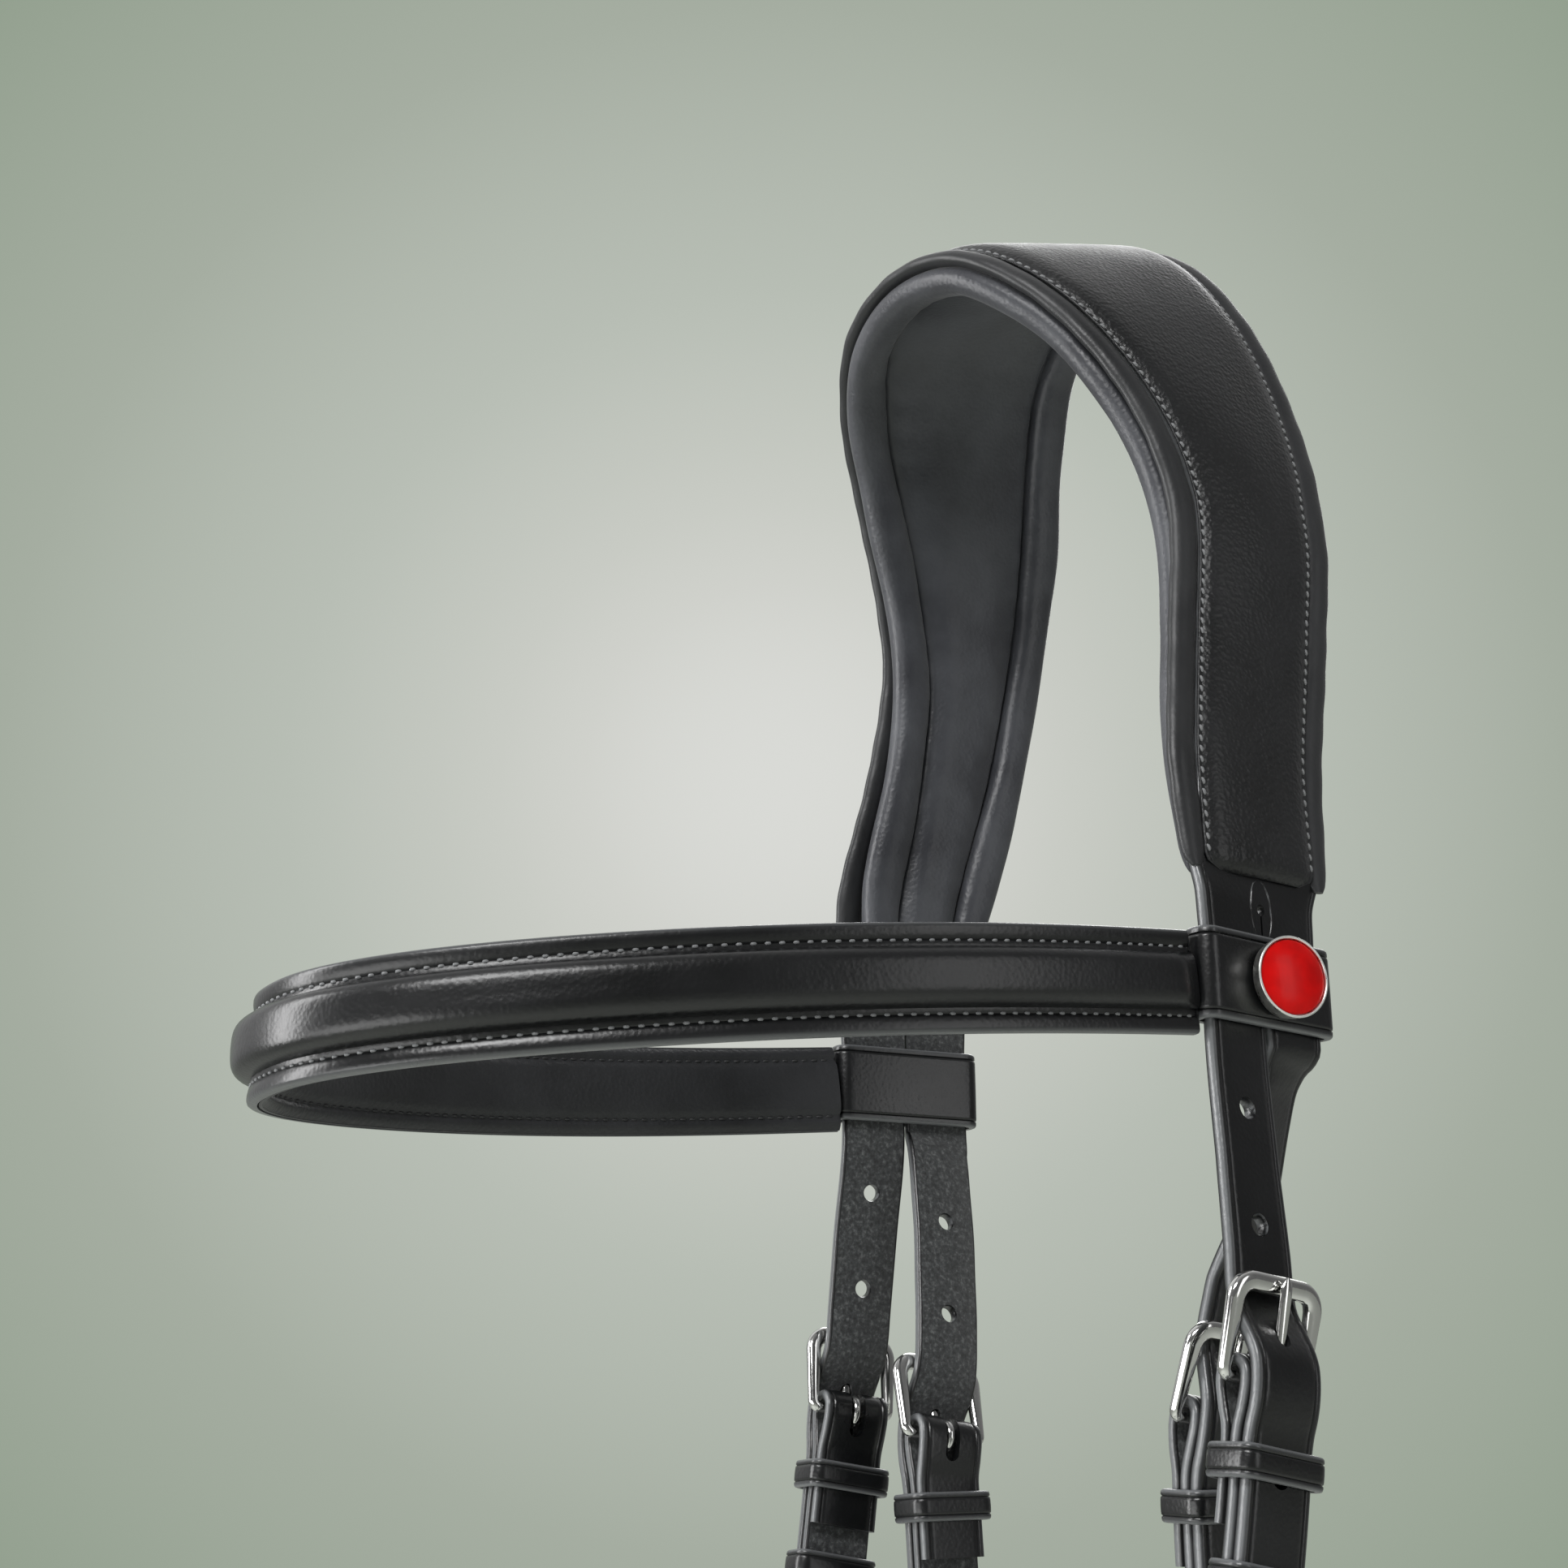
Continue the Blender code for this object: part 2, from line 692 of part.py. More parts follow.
# Fastening: a buckle on one strap's fold, the tail of the other strap through it, and two keepers
BUCKLE_REACH = 0.0172
BUCKLE_CLEARANCE = 0.00045
BUCKLE_CORNER = 0.0038
BUCKLE_HEEL_CORNER = 0.0016
BUCKLE_TILT = math.radians(11.5)
BUCKLE_FLAT_SHARE = 1.35
TONGUE_RADIUS = 0.0011
TONGUE_SLOT = 0.0036
TONGUE_PLAY = 5
TONGUE_WRAP = math.radians(235)
FOLD_RETURN = 0.026
FOLD_THROAT = 0.0090
HOLE_RADIUS = 0.0019
HOLE_PITCH = 0.0225
TAIL_LENGTH = 0.054
TAIL_TAPER = 0.010
KEEPER_WIDTH = 0.0062
KEEPER_AT = TAIL_LENGTH * 0.28
RUNNER_AT = TAIL_LENGTH * 0.65
RUNNER_BACK = 0.0020
RUNNER_ON = 0.0080

WIRE_RADIUS = WIRE / 2
FOLD_MIDDLE = WIRE_RADIUS + SLIP + PLY / 2
PLY_LEVEL = PLY / 2 + GAP / 2
OVER_FOLD = FOLD_MIDDLE + PLY / 2 + GAP + STRAP_THICKNESS / 2
OVER_PLY = PLY_LEVEL + PLY / 2 + GAP + STRAP_THICKNESS / 2
TONGUE_TURN = WIRE_RADIUS + SLIP + TONGUE_RADIUS
TIP_BAR_LEVEL = BUCKLE_REACH * math.sin(BUCKLE_TILT)
TIP_BAR_ALONG = -BUCKLE_REACH * math.cos(BUCKLE_TILT)


def eased(share):
    return share * share * (3 - 2 * share)


def ply_lengths():
    """Lengths past the heel bar at which a strap and the tail on it both have a station."""
    return np.linspace(WIRE_RADIUS * 2 + FOLD_THROAT, TAIL_LENGTH - TAIL_TAPER, 6)


def tail_path(lead_in):
    """Stations of the holed strap: level on the way in, up through the buckle and over the fold to its point.

    Lengths are measured from the heel bar, positive towards the tail. lead_in lists the lengths before it.
    """
    path = [(length, 0, STRAP_WIDTH) for length in lead_in]
    start = TIP_BAR_ALONG + WIRE_RADIUS
    end = -WIRE_RADIUS
    for share in (0, 0.2, 0.4, 0.6, 0.8, 1.0):
        path.append((start + (end - start) * share, OVER_FOLD * eased(share), STRAP_WIDTH))
    path.append((WIRE_RADIUS * 2, OVER_FOLD, STRAP_WIDTH))
    for share in (0.5, 1.0):
        level = OVER_FOLD + (OVER_PLY - OVER_FOLD) * eased(share)
        path.append((WIRE_RADIUS * 2 + FOLD_THROAT * share, level, STRAP_WIDTH))
    path.extend((length, OVER_PLY, STRAP_WIDTH) for length in ply_lengths()[1:-1])
    for share, width_share in ((0, 1), (0.35, 0.86), (0.7, 0.6), (1, 0.22)):
        path.append((TAIL_LENGTH - TAIL_TAPER * (1 - share), OVER_PLY, STRAP_WIDTH * width_share))
    return path


def fold_path(bar_at, turn, inner_level, back_length, throat=FOLD_THROAT, drop=0.0, width=STRAP_WIDTH):
    """Stations of a strap end folded round a bar: in along the front, round it and back along the inside.

    turn is +1 where the strap's body lies at greater lengths than the bar, and -1 at smaller ones. drop
    lengthens the hollow past the bar, for a bar that curves away.
    """
    path = [
        (bar_at + turn * throat, PLY_LEVEL, width),
        (bar_at + turn * throat * 0.5, (PLY_LEVEL + inner_level) / 2 + GAP, width),
    ]
    for index in range(FOLD_STEPS + 1):
        swing = math.pi * index / FOLD_STEPS
        beyond = -turn * (inner_level + drop) * math.sin(swing)
        path.append((bar_at + beyond, inner_level * math.cos(swing), width))
    path.append((bar_at + turn * throat * 0.5, -(PLY_LEVEL + inner_level) / 2 - GAP, width))
    path.extend((bar_at + turn * back, -PLY_LEVEL, width) for back in np.linspace(throat, back_length, 4))
    return path


def buckle_frame():
    """A wire frame about its heel bar: a rounded rectangle, round at the heel and flatter at the tip."""
    half = STRAP_WIDTH / 2 + BUCKLE_CLEARANCE + WIRE_RADIUS
    corner = BUCKLE_CORNER
    heel = BUCKLE_HEEL_CORNER
    corners = (
        (half - heel, heel, heel, -90),
        (half - corner, BUCKLE_REACH - corner, corner, 0),
        (-half + corner, BUCKLE_REACH - corner, corner, 90),
        (-half + heel, heel, heel, 180),
    )
    rings = []
    for middle_a, middle_l, radius, first in corners:
        for step in (0, 30, 60, 90):
            turn = math.radians(first + step)
            facing = Vector((math.cos(turn), math.sin(turn), 0))
            centre = Vector((middle_a, middle_l, 0)) + facing * radius
            share = centre.y / BUCKLE_REACH
            wide = 1 + (BUCKLE_FLAT_SHARE - 1) * max(share, 0)
            section = round_section(WIRE_RADIUS, 8, wide)
            rings.append([centre + facing * a + Vector((0, 0, b)) for a, b in section])
    return loft(rings, closed=True)


def tongue_line():
    """The tongue's middle line from its curl round the heel bar to its tip, as (reach, level) points."""
    tip_level = TIP_BAR_LEVEL + WIRE_RADIUS + GAP + TONGUE_RADIUS
    tip = (-TIP_BAR_ALONG + WIRE_RADIUS, tip_level)
    slope = math.atan2(tip_level - TONGUE_TURN, tip[0])
    leave = math.pi / 2 + slope
    steps = 8
    line = []
    for index in range(steps + 1):
        turn = leave + TONGUE_WRAP * (1 - index / steps)
        line.append((TONGUE_TURN * math.cos(turn), TONGUE_TURN * math.sin(turn)))
    return line + [(tip[0] * 0.5, (line[-1][1] + tip_level) / 2), tip]


def wire_sweep(line, radius, sides=WIRE_SIDES, end_share=0.55):
    """A wire of this radius along a line in the YZ plane, narrowed at its last station."""
    points = np.array([(0, reach, level) for reach, level in line])
    along = unit(np.gradient(points, axis=0))
    across = np.array([[1.0, 0, 0]] * len(points))
    outward = np.cross(across, along)
    sections = [round_section(radius, sides)] * (len(points) - 1)
    sections.append(round_section(radius * end_share, sides))
    return swept(points, across, outward, sections)


def tongue_mesh():
    return wire_sweep(tongue_line(), TONGUE_RADIUS)


def tongue_way():
    """The room that the tongue needs through the strap, at rest and when it lifts."""
    line = tongue_line()
    start, end = line[-3], line[-1]
    half = TONGUE_RADIUS + SLIP
    mesh = bmesh.new()
    corners = []
    for reach, level in (start, end):
        lift = reach * math.radians(TONGUE_PLAY)
        for a, b in ((-half, -half), (half, -half), (half, half + lift), (-half, half + lift)):
            corners.append(mesh.verts.new((a, reach, level + b)))
    for index in range(4):
        after = (index + 1) % 4
        mesh.faces.new((corners[index], corners[after], corners[after + 4], corners[index + 4]))
    mesh.faces.new(corners[:4])
    mesh.faces.new(corners[4:])
    bmesh.ops.recalc_face_normals(mesh, faces=mesh.faces)
    return mesh


def box_between(low, high):
    mesh = bmesh.new()
    size = np.subtract(high, low)
    middle = np.add(high, low) / 2
    bmesh.ops.create_cube(mesh, size=1, matrix=Matrix.Translation(middle) @ Matrix.Diagonal((*size, 1)))
    return mesh


def place_on(strip, length, turn, tilt=0.0):
    """World matrix at a length on a strip: X across, Y towards the lead-in and Z outward."""
    centre, along, across, outward = strip.at(length)
    back = -along * turn
    flat = matrix_from(centre, np.cross(back, outward), back, outward)
    return flat @ Matrix.Rotation(tilt, 4, "X")


def joined(meshes):
    """Several cutters as one mesh of separate bodies."""
    whole = bmesh.new()
    for mesh, matrix in meshes:
        mesh.transform(matrix)
        data = bpy.data.meshes.new("cutter_part")
        mesh.to_mesh(data)
        mesh.free()
        whole.from_mesh(data)
        bpy.data.meshes.remove(data)
    return whole


def add_holes(strap, strip, heel, turn, before, after, levels):
    """Punched holes each way from the tongue's own slot, and that slot."""
    shapes = [(tongue_way(), place_on(strip, heel, turn))]
    crossing = TONGUE_TURN * 2
    for step in [-index for index in range(1, before + 1)] + list(range(1, after + 1)):
        length = -crossing + HOLE_PITCH * step
        centre, along, across, outward = strip.at(heel + turn * length)
        level = levels(length)
        mesh = bmesh.new()
        punch(mesh, centre + outward * level, across, outward, HOLE_RADIUS, STRAP_THICKNESS)
        shapes.append((mesh, Matrix()))
    cut(strap, joined(shapes))


def tail_level(length):
    return 0 if length < 0 else OVER_PLY


def add_slot(strap, strip, heel, turn):
    """The slot in a fold that lets the tongue turn about the heel bar."""
    reach = TONGUE_TURN + TONGUE_RADIUS + SLIP
    high = FOLD_MIDDLE + PLY
    slot = box_between((-TONGUE_SLOT / 2, -reach, -high), (TONGUE_SLOT / 2, reach + PLY, high))
    slot.transform(place_on(strip, heel, turn))
    cut(strap, slot)


def keeper_mesh(plies):
    """A keeper round the strap's plies and the tail, with Y along the strap and Z outward."""
    low = -(PLY_LEVEL + PLY / 2) if plies == 2 else GAP / 2
    depth = OVER_PLY + STRAP_THICKNESS / 2 - low + 2 * SLIP
    ring = strap_loop(STRAP_WIDTH + 2 * SLIP, depth, KEEPER_WIDTH, KEEPER_PLY)
    lift = Matrix.Translation((0, 0, low - SLIP + depth / 2))
    ring.transform(lift @ Matrix.Rotation(math.pi / 2, 4, "X"))
    return ring


def add_fastening(name, strip, heel, turn, axis):
    """Buckle, tongue, fixed keeper and runner at a heel bar on a strip."""
    frame_place = place_on(strip, heel, turn, BUCKLE_TILT)
    add_node(name[0] + "_buckle" + name[1], buckle_frame(), STEEL, axis, frame_place)
    centre = strip.at(heel)[0]
    tongue_axis = add_axis(name[0] + "_tongue_axis" + name[1], centre, axis)
    add_node(name[0] + "_tongue" + name[1], tongue_mesh(), STEEL, tongue_axis, place_on(strip, heel, turn))
    keeper_place = place_on(strip, heel + turn * KEEPER_AT, turn)
    add_node(name[0] + "_keeper" + name[1], keeper_mesh(2), BLACK_LEATHER, axis, keeper_place)
    runner_at = heel + turn * RUNNER_AT
    runner_axis = add_axis(name[0] + "_runner_axis" + name[1], strip.at(runner_at)[0], axis)
    runner_place = place_on(strip, runner_at, turn)
    add_node(name[0] + "_runner" + name[1], keeper_mesh(1), BLACK_LEATHER, runner_axis, runner_place)


# Cheekpieces: the front tails of the headpiece, their buckles and the straps down to the rein rings
CHEEK_TIP_AT = 0.0595
CHEEK_FLARE = 0.0060
CHEEK_LEAN = 0.0022
CHEEK_HOLES = 2
TAIL_HOLES = 2
RING_STRAP_WIDTH = 0.0120
RING_RETURN = 0.030
RING_THROAT = 0.0125
RING_TURN = RING_WIRE / 2 + SLIP + PLY / 2
RING_DROOP = RING_RADIUS - math.sqrt(RING_RADIUS**2 - (RING_STRAP_WIDTH / 2) ** 2) + SLIP
RING_STEPS = 28


def ring_centre(side):
    return np.array([side * RING_HALF_GAP, -RING_FORWARD, -RING_DROP - BROWBAND_DROP])


def tail_start(side, part):
    """Where a tail leaves the neck: part is -1 for the front tail and +1 for the rear one."""
    spot, across, _ = neck_frame(side, -NECK_BOTTOM - GAP)
    return spot + across * part * (STRAP_WIDTH + NECK_SPLIT) / 2, across


def swing_corner(part):
    """Middle plane point level with the outer top corner of the front (-1) or rear (+1) tails."""
    start, across = tail_start(LEFT, part)
    return (start + across * part * STRAP_WIDTH / 2) * np.array([0, 1, 1])


def cheek_strip(side):
    start, across = tail_start(side, -1)
    foot = start + np.array([0, 0, -OVERRUN])
    flare = side * (CHEEK_FLARE - CHEEK_LEAN / 2)
    tip = start + np.array([flare, -CHEEK_LEAN, -CHEEK_TIP_AT + NECK_BOTTOM])
    ring = ring_centre(side)
    rise = np.array([0, ring[1] - tip[1], ring[2] - tip[2]])
    lower = [ring - rise * share for share in (0.32, 0.24, 0.16, 0.08, 0)]
    middle = (tip + lower[0]) / 2 + np.array([side * CHEEK_FLARE * 0.35, 0, 0])
    points = [start, foot, (foot + tip) / 2, tip, middle, *lower]
    hints = [across] * 3 + [(across + np.array([0, 1.0, 0])) / 2] * 2 + [np.array([0, 1.0, 0])] * len(lower)
    return Strip(points, hints, flip=-side)


def add_cheek(side, word, axis):
    strip = cheek_strip(side)
    heel = CHEEK_TIP_AT - NECK_BOTTOM - TIP_BAR_ALONG
    lead = np.linspace(0, heel + TIP_BAR_ALONG - WIRE_RADIUS, 7) - heel
    path = [(heel + length, level, width) for length, level, width in tail_path(lead)]
    tail = add_node("cheek_tail_" + word, strap_on(strip, path, STRAP_THICKNESS), BLACK_LEATHER, axis)
    add_holes(tail, strip, heel, 1, CHEEK_HOLES, TAIL_HOLES, tail_level)
    ring_top = strip.length - RING_RADIUS
    upper = fold_path(heel, 1, FOLD_MIDDLE, FOLD_RETURN)
    foot = fold_path(ring_top, -1, RING_TURN, RING_RETURN, RING_THROAT, RING_DROOP, RING_STRAP_WIDTH)
    narrow = ring_top - RING_THROAT - RING_STRAP_WIDTH
    lengths = [*(heel + ply_lengths()), *np.linspace(heel + TAIL_LENGTH, narrow, 6)]
    front = [(length, PLY_LEVEL, STRAP_WIDTH) for length in lengths]
    strap = strap_on(strip, upper[::-1] + front + foot, PLY)
    cheek = add_node("cheekpiece_" + word, strap, BLACK_LEATHER, axis)
    add_slot(cheek, strip, heel, 1)
    add_fastening(("cheek", "_" + word), strip, heel, 1, axis)
    ring_axis = add_axis("rein_ring_axis_" + word, ring_centre(side), axis)
    add_node("rein_ring_" + word, ring_mesh(), STEEL, ring_axis, ring_place(side))


def ring_mesh():
    """The rein ring: round wire bent to a circle about Z."""
    rings = []
    for index in range(RING_STEPS):
        turn = 2 * math.pi * index / RING_STEPS
        facing = Vector((math.cos(turn), math.sin(turn), 0))
        section = round_section(RING_WIRE / 2, 8)
        rings.append([facing * (RING_RADIUS + a) + Vector((0, 0, b)) for a, b in section])
    return loft(rings, closed=True)


def ring_place(side):
    return Matrix.Translation(Vector(ring_centre(side))) @ Matrix.Rotation(math.pi / 2, 4, "Y")


# Throatlash: the rear tails of the headpiece and the strap that hangs between them under the throat
THROAT_TIP_AT = 0.0685
THROAT_DRAW_IN = 0.0158
THROAT_LEAN = 0.0102
THROAT_DROP = 0.280
THROAT_BACK = 0.012
THROAT_HOLES = 2


def throat_strip():
    """From the left tail's root down, across under the throat and up to the right tail's root."""
    start, across = tail_start(LEFT, 1)
    foot = start + np.array([0, 0, -OVERRUN])
    down = foot[2]
    reach = THROAT_DROP + BROWBAND_DROP + down
    in_shares = (
        (0.10, 0.02, 0.015),
        (0.22, 0.10, 0.030),
        (0.36, 0.26, 0.055),
        (0.52, 0.46, 0.092),
        (0.68, 0.64, 0.127),
        (0.84, 0.79, 0.168),
        (0.95, 0.94, 0.216),
        (1.02, 1.01, 0.240),
        (1.10, 1.11, 0.280),
        (1.16, 1.10, 0.340),
        (1.20, 0.95, 0.450),
        (1.28, 0.65, 0.560),
        (1.52, 0.25, 0.720),
    )
    half = [start, foot]
    for drawn, lean, low in in_shares:
        half.append(foot + np.array([-THROAT_DRAW_IN * drawn, -THROAT_LEAN * lean, -reach * low]))
    bottom = np.array([0, foot[1] + THROAT_BACK, down - reach])
    half.append(np.array([start[0] * 0.52, foot[1] + THROAT_BACK * 0.5, down - reach * 0.9]))
    half.append(np.array([start[0] * 0.27, foot[1] + THROAT_BACK * 0.9, down - reach * 0.98]))
    mirror = np.array([-1, 1, 1])
    points = half + [bottom] + [point * mirror for point in half[::-1]]
    hints = [across] * 2 + [np.array([0, 1.0, 0])] * (len(points) - 4) + [across * mirror] * 2
    return Strip(points, hints, flip=-1)


def add_throatlash(axis):
    strip = throat_strip()
    heel = THROAT_TIP_AT - NECK_BOTTOM - TIP_BAR_ALONG
    lead = np.linspace(0, heel + TIP_BAR_ALONG - WIRE_RADIUS, 7) - heel
    for side, word in SIDES:
        bar = heel if side == LEFT else strip.length - heel
        path = [(bar + side * length, level, width) for length, level, width in tail_path(lead)]
        strap = strap_on(strip, path, STRAP_THICKNESS)
        tail = add_node("throatlash_tail_" + word, strap, BLACK_LEATHER, axis)
        add_holes(tail, strip, bar, side, THROAT_HOLES, TAIL_HOLES, tail_level)
    first = fold_path(heel, 1, FOLD_MIDDLE, FOLD_RETURN)[::-1]
    last = fold_path(strip.length - heel, -1, FOLD_MIDDLE, FOLD_RETURN)
    over = [*ply_lengths(), TAIL_LENGTH]
    between = np.linspace(heel + TAIL_LENGTH, strip.length - heel - TAIL_LENGTH, 27)[1:-1]
    far_over = [strip.length - heel - step for step in over[::-1]]
    lengths = [heel + step for step in over] + [*between] + far_over
    middle = [(length, PLY_LEVEL, STRAP_WIDTH) for length in lengths]
    strap = add_node("throatlash_strap", strap_on(strip, first + middle + last, PLY), BLACK_LEATHER, axis)
    add_slot(strap, strip, heel, 1)
    add_slot(strap, strip, strip.length - heel, -1)
    for side, word in SIDES:
        bar = heel if side == LEFT else strip.length - heel
        add_fastening(("throatlash", "_" + word), strip, bar, side, axis)


# Noseband: made like the browband, on a strap whose ends fold round the rein rings
NOSE_DEPTH = 0.118
NOSE_SQUARENESS = 2.2
NOSE_RUN = 0.030
NOSE_BULGE_SHARE = 0.03
NOSE_SLOPE_SHARE = 0.06
NOSE_HEIGHT = 0.0260
NOSE_RAISE = 0.0040
NOSE_LINING = 0.0038
NOSE_FOLD = 0.024
NOSE_END = 0.034


def noseband_strip():
    """From the left ring's centre round the front of the nose to the right ring's centre."""
    shape = (NOSE_DEPTH, NOSE_SQUARENESS, NOSE_BULGE_SHARE, NOSE_SLOPE_SHARE)
    centre = band_curve(2 * RING_HALF_GAP, *shape, 0, NOSE_RUN)[0]
    return Strip(centre[::-1] + ring_centre(0), (0, 0, 1), flip=1)


def add_noseband(axis):
    strip = noseband_strip()
    fold = (RING_TURN, NOSE_FOLD, RING_THROAT, RING_DROOP, RING_STRAP_WIDTH)
    first = fold_path(RING_RADIUS, 1, *fold)[::-1]
    last = fold_path(strip.length - RING_RADIUS, -1, *fold)
    wide_from = RING_RADIUS + RING_THROAT + RING_STRAP_WIDTH / 2
    between = np.linspace(wide_from, strip.length - wide_from, 31)
    middle = [(length, PLY_LEVEL, STRAP_WIDTH) for length in between]
    add_node("noseband_strap", strap_on(strip, first + middle + last, PLY), BLACK_LEATHER, axis)
    end = NOSE_END + RING_RADIUS
    stations = [strip.at(length) for length in np.linspace(end, strip.length - end, NOSE_STATIONS)]
    centre, _, across, outward = (np.array(values) for values in zip(*stations))
    outer = PLY_LEVEL + PLY / 2 + GAP
    inner = PLY_LEVEL - PLY / 2 - GAP
    count = len(centre)
    sizes = (NOSE_HEIGHT, BAND_FACING, NOSE_RAISE, outer)
    facing = swept(centre, across, outward, [facing_section(*sizes)] * count)
    add_node("noseband_facing", facing, BLACK_LEATHER, axis)
    add_node("noseband_core", swept(centre, across, outward, [core_section(*sizes)] * count), FOAM, axis)
    soft = soft_section(NOSE_HEIGHT, NOSE_LINING, inner)
    add_node("noseband_lining", swept(centre, across, outward, [soft] * count), SOFT_LEATHER, axis)


# Chin strap: a short holed strap on the left ring, buckled to the one that comes round the jaw from the right
CHIN_DEPTH = 0.100
CHIN_SQUARENESS = 2.0
CHIN_RUN = 0.032
CHIN_DROOP = math.radians(22)
CHIN_TIP_AT = 0.048
CHIN_HOLES = 0
CHIN_RUNNER_ON = 0.0020


def chin_strip():
    """From the left ring's centre round behind the jaw to the right ring's centre, drooping to the rear."""
    curve = band_curve(2 * RING_HALF_GAP, CHIN_DEPTH, CHIN_SQUARENESS, 0, 0, 0, CHIN_RUN)[0][::-1]
    back = np.array([0, math.cos(CHIN_DROOP), -math.sin(CHIN_DROOP)])
    points = [ring_centre(0) + np.array([x, 0, 0]) - back * y for x, y, _ in curve]
    upright = np.array([0, math.sin(CHIN_DROOP), math.cos(CHIN_DROOP)])
    return Strip(points, upright, flip=-1)


def add_chin_strap(axis):
    strip = chin_strip()
    heel = CHIN_TIP_AT - TIP_BAR_ALONG
    droop = (RING_THROAT, RING_DROOP, RING_STRAP_WIDTH)
    fold = fold_path(RING_RADIUS, 1, RING_TURN, FOLD_RETURN, *droop)[::-1]
    path = fold[:-1] + [(length + heel, level, width) for length, level, width in tail_path([])]
    tail = add_node("chin_strap_tail", strap_on(strip, path, STRAP_THICKNESS), BLACK_LEATHER, axis)
    add_holes(tail, strip, heel, 1, CHIN_HOLES, TAIL_HOLES, tail_level)
    first = fold_path(heel, 1, FOLD_MIDDLE, FOLD_RETURN)[::-1]
    last = fold_path(strip.length - RING_RADIUS, -1, RING_TURN, RING_RETURN, *droop)
    wide_to = strip.length - RING_RADIUS - RING_THROAT - RING_STRAP_WIDTH
    lengths = [*(heel + ply_lengths()), *np.linspace(heel + TAIL_LENGTH, wide_to, 18)]
    middle = [(length, PLY_LEVEL, STRAP_WIDTH) for length in lengths]
    strap = add_node("chin_strap", strap_on(strip, first + middle + last, PLY), BLACK_LEATHER, axis)
    add_slot(strap, strip, heel, 1)
    add_fastening(("chin_strap", ""), strip, heel, 1, axis)


clear_scene()
add_headpiece()
browband_axis = add_axis("browband_slide_axis", (0, NECK_AFT, -BROWBAND_DROP))
add_browband(browband_axis)
cheek_axis = add_axis("cheek_swing_axis", swing_corner(-1))
for side, word in SIDES:
    add_cheek(side, word, cheek_axis)
add_throatlash(add_axis("throatlash_swing_axis", swing_corner(1)))
add_noseband(add_axis("noseband_swing_axis", ring_centre(0), cheek_axis))
add_chin_strap(add_axis("chin_strap_swing_axis", ring_centre(0), cheek_axis))
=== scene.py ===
import json
import math

import bmesh
import bpy
import numpy as np
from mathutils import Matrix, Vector

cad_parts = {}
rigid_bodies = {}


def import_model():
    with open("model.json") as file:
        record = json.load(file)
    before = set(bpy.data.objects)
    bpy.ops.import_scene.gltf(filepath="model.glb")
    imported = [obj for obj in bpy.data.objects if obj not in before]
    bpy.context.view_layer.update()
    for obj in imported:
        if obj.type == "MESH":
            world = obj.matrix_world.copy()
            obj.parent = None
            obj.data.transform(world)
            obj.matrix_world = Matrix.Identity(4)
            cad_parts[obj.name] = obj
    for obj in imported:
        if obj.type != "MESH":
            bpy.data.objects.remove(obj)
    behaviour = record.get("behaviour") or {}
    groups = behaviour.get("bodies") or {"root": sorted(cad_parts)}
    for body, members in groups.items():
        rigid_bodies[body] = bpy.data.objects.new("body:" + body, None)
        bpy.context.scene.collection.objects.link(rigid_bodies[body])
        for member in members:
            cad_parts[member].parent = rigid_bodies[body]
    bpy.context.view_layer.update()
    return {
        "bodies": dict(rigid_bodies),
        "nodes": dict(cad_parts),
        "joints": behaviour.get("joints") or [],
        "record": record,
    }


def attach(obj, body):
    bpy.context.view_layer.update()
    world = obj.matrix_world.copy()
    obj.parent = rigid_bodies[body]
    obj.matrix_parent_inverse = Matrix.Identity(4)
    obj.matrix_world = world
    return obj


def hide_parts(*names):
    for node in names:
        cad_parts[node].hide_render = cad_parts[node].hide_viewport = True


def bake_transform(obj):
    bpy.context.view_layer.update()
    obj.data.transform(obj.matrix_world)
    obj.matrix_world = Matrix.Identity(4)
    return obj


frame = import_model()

# Camera at the photograph's angle: low in front of the near side, looking up across the browband
eye = bpy.data.objects.new("camera", bpy.data.cameras.new("camera"))
bpy.context.scene.collection.objects.link(eye)
eye.location = (0.3954, -0.2969, -0.2810)
eye.data.lens = 51.9
eye.data.sensor_width = 36.0
eye.data.clip_start = 0.01
towards = Vector((-math.sin(math.radians(60)), math.cos(math.radians(60)), math.tan(math.radians(18))))
eye.rotation_mode = "QUATERNION"
eye.rotation_quaternion = towards.to_track_quat("-Z", "Y")
bpy.context.scene.camera = eye
bpy.context.scene.view_settings.view_transform = "Standard"


# Materials
def linear(code):
    """Linear colour of an sRGB hex code."""
    shares = np.array([int(code[at : at + 2], 16) for at in (1, 3, 5)]) / 255
    return (*np.where(shares <= 0.04045, shares / 12.92, ((shares + 0.055) / 1.055) ** 2.4), 1.0)


def add(tree, kind, links=None, stops=(), **settings):
    """Adds a shader node. settings are its properties or socket values, and links feed its sockets.

    stops are a colour ramp's places and colours, in rising order.
    """
    made = tree.nodes.new("ShaderNode" + kind)
    for name, value in settings.items():
        if hasattr(made, name):
            setattr(made, name, value)
        else:
            made.inputs[name.replace("_", " ")].default_value = value
    for name, source in (links or {}).items():
        tree.links.new(source, made.inputs[name])
    for index, (place, colour) in enumerate(stops):
        elements = made.color_ramp.elements
        element = elements[index] if index < 2 else elements.new(place)
        element.position, element.color = place, colour
    return made


def new_material(name):
    """An empty material, its node tree and the object's own coordinates."""
    material = bpy.data.materials.new(name)
    material.use_nodes = True
    tree = material.node_tree
    tree.nodes.clear()
    return material, tree, add(tree, "TexCoord").outputs["Object"]


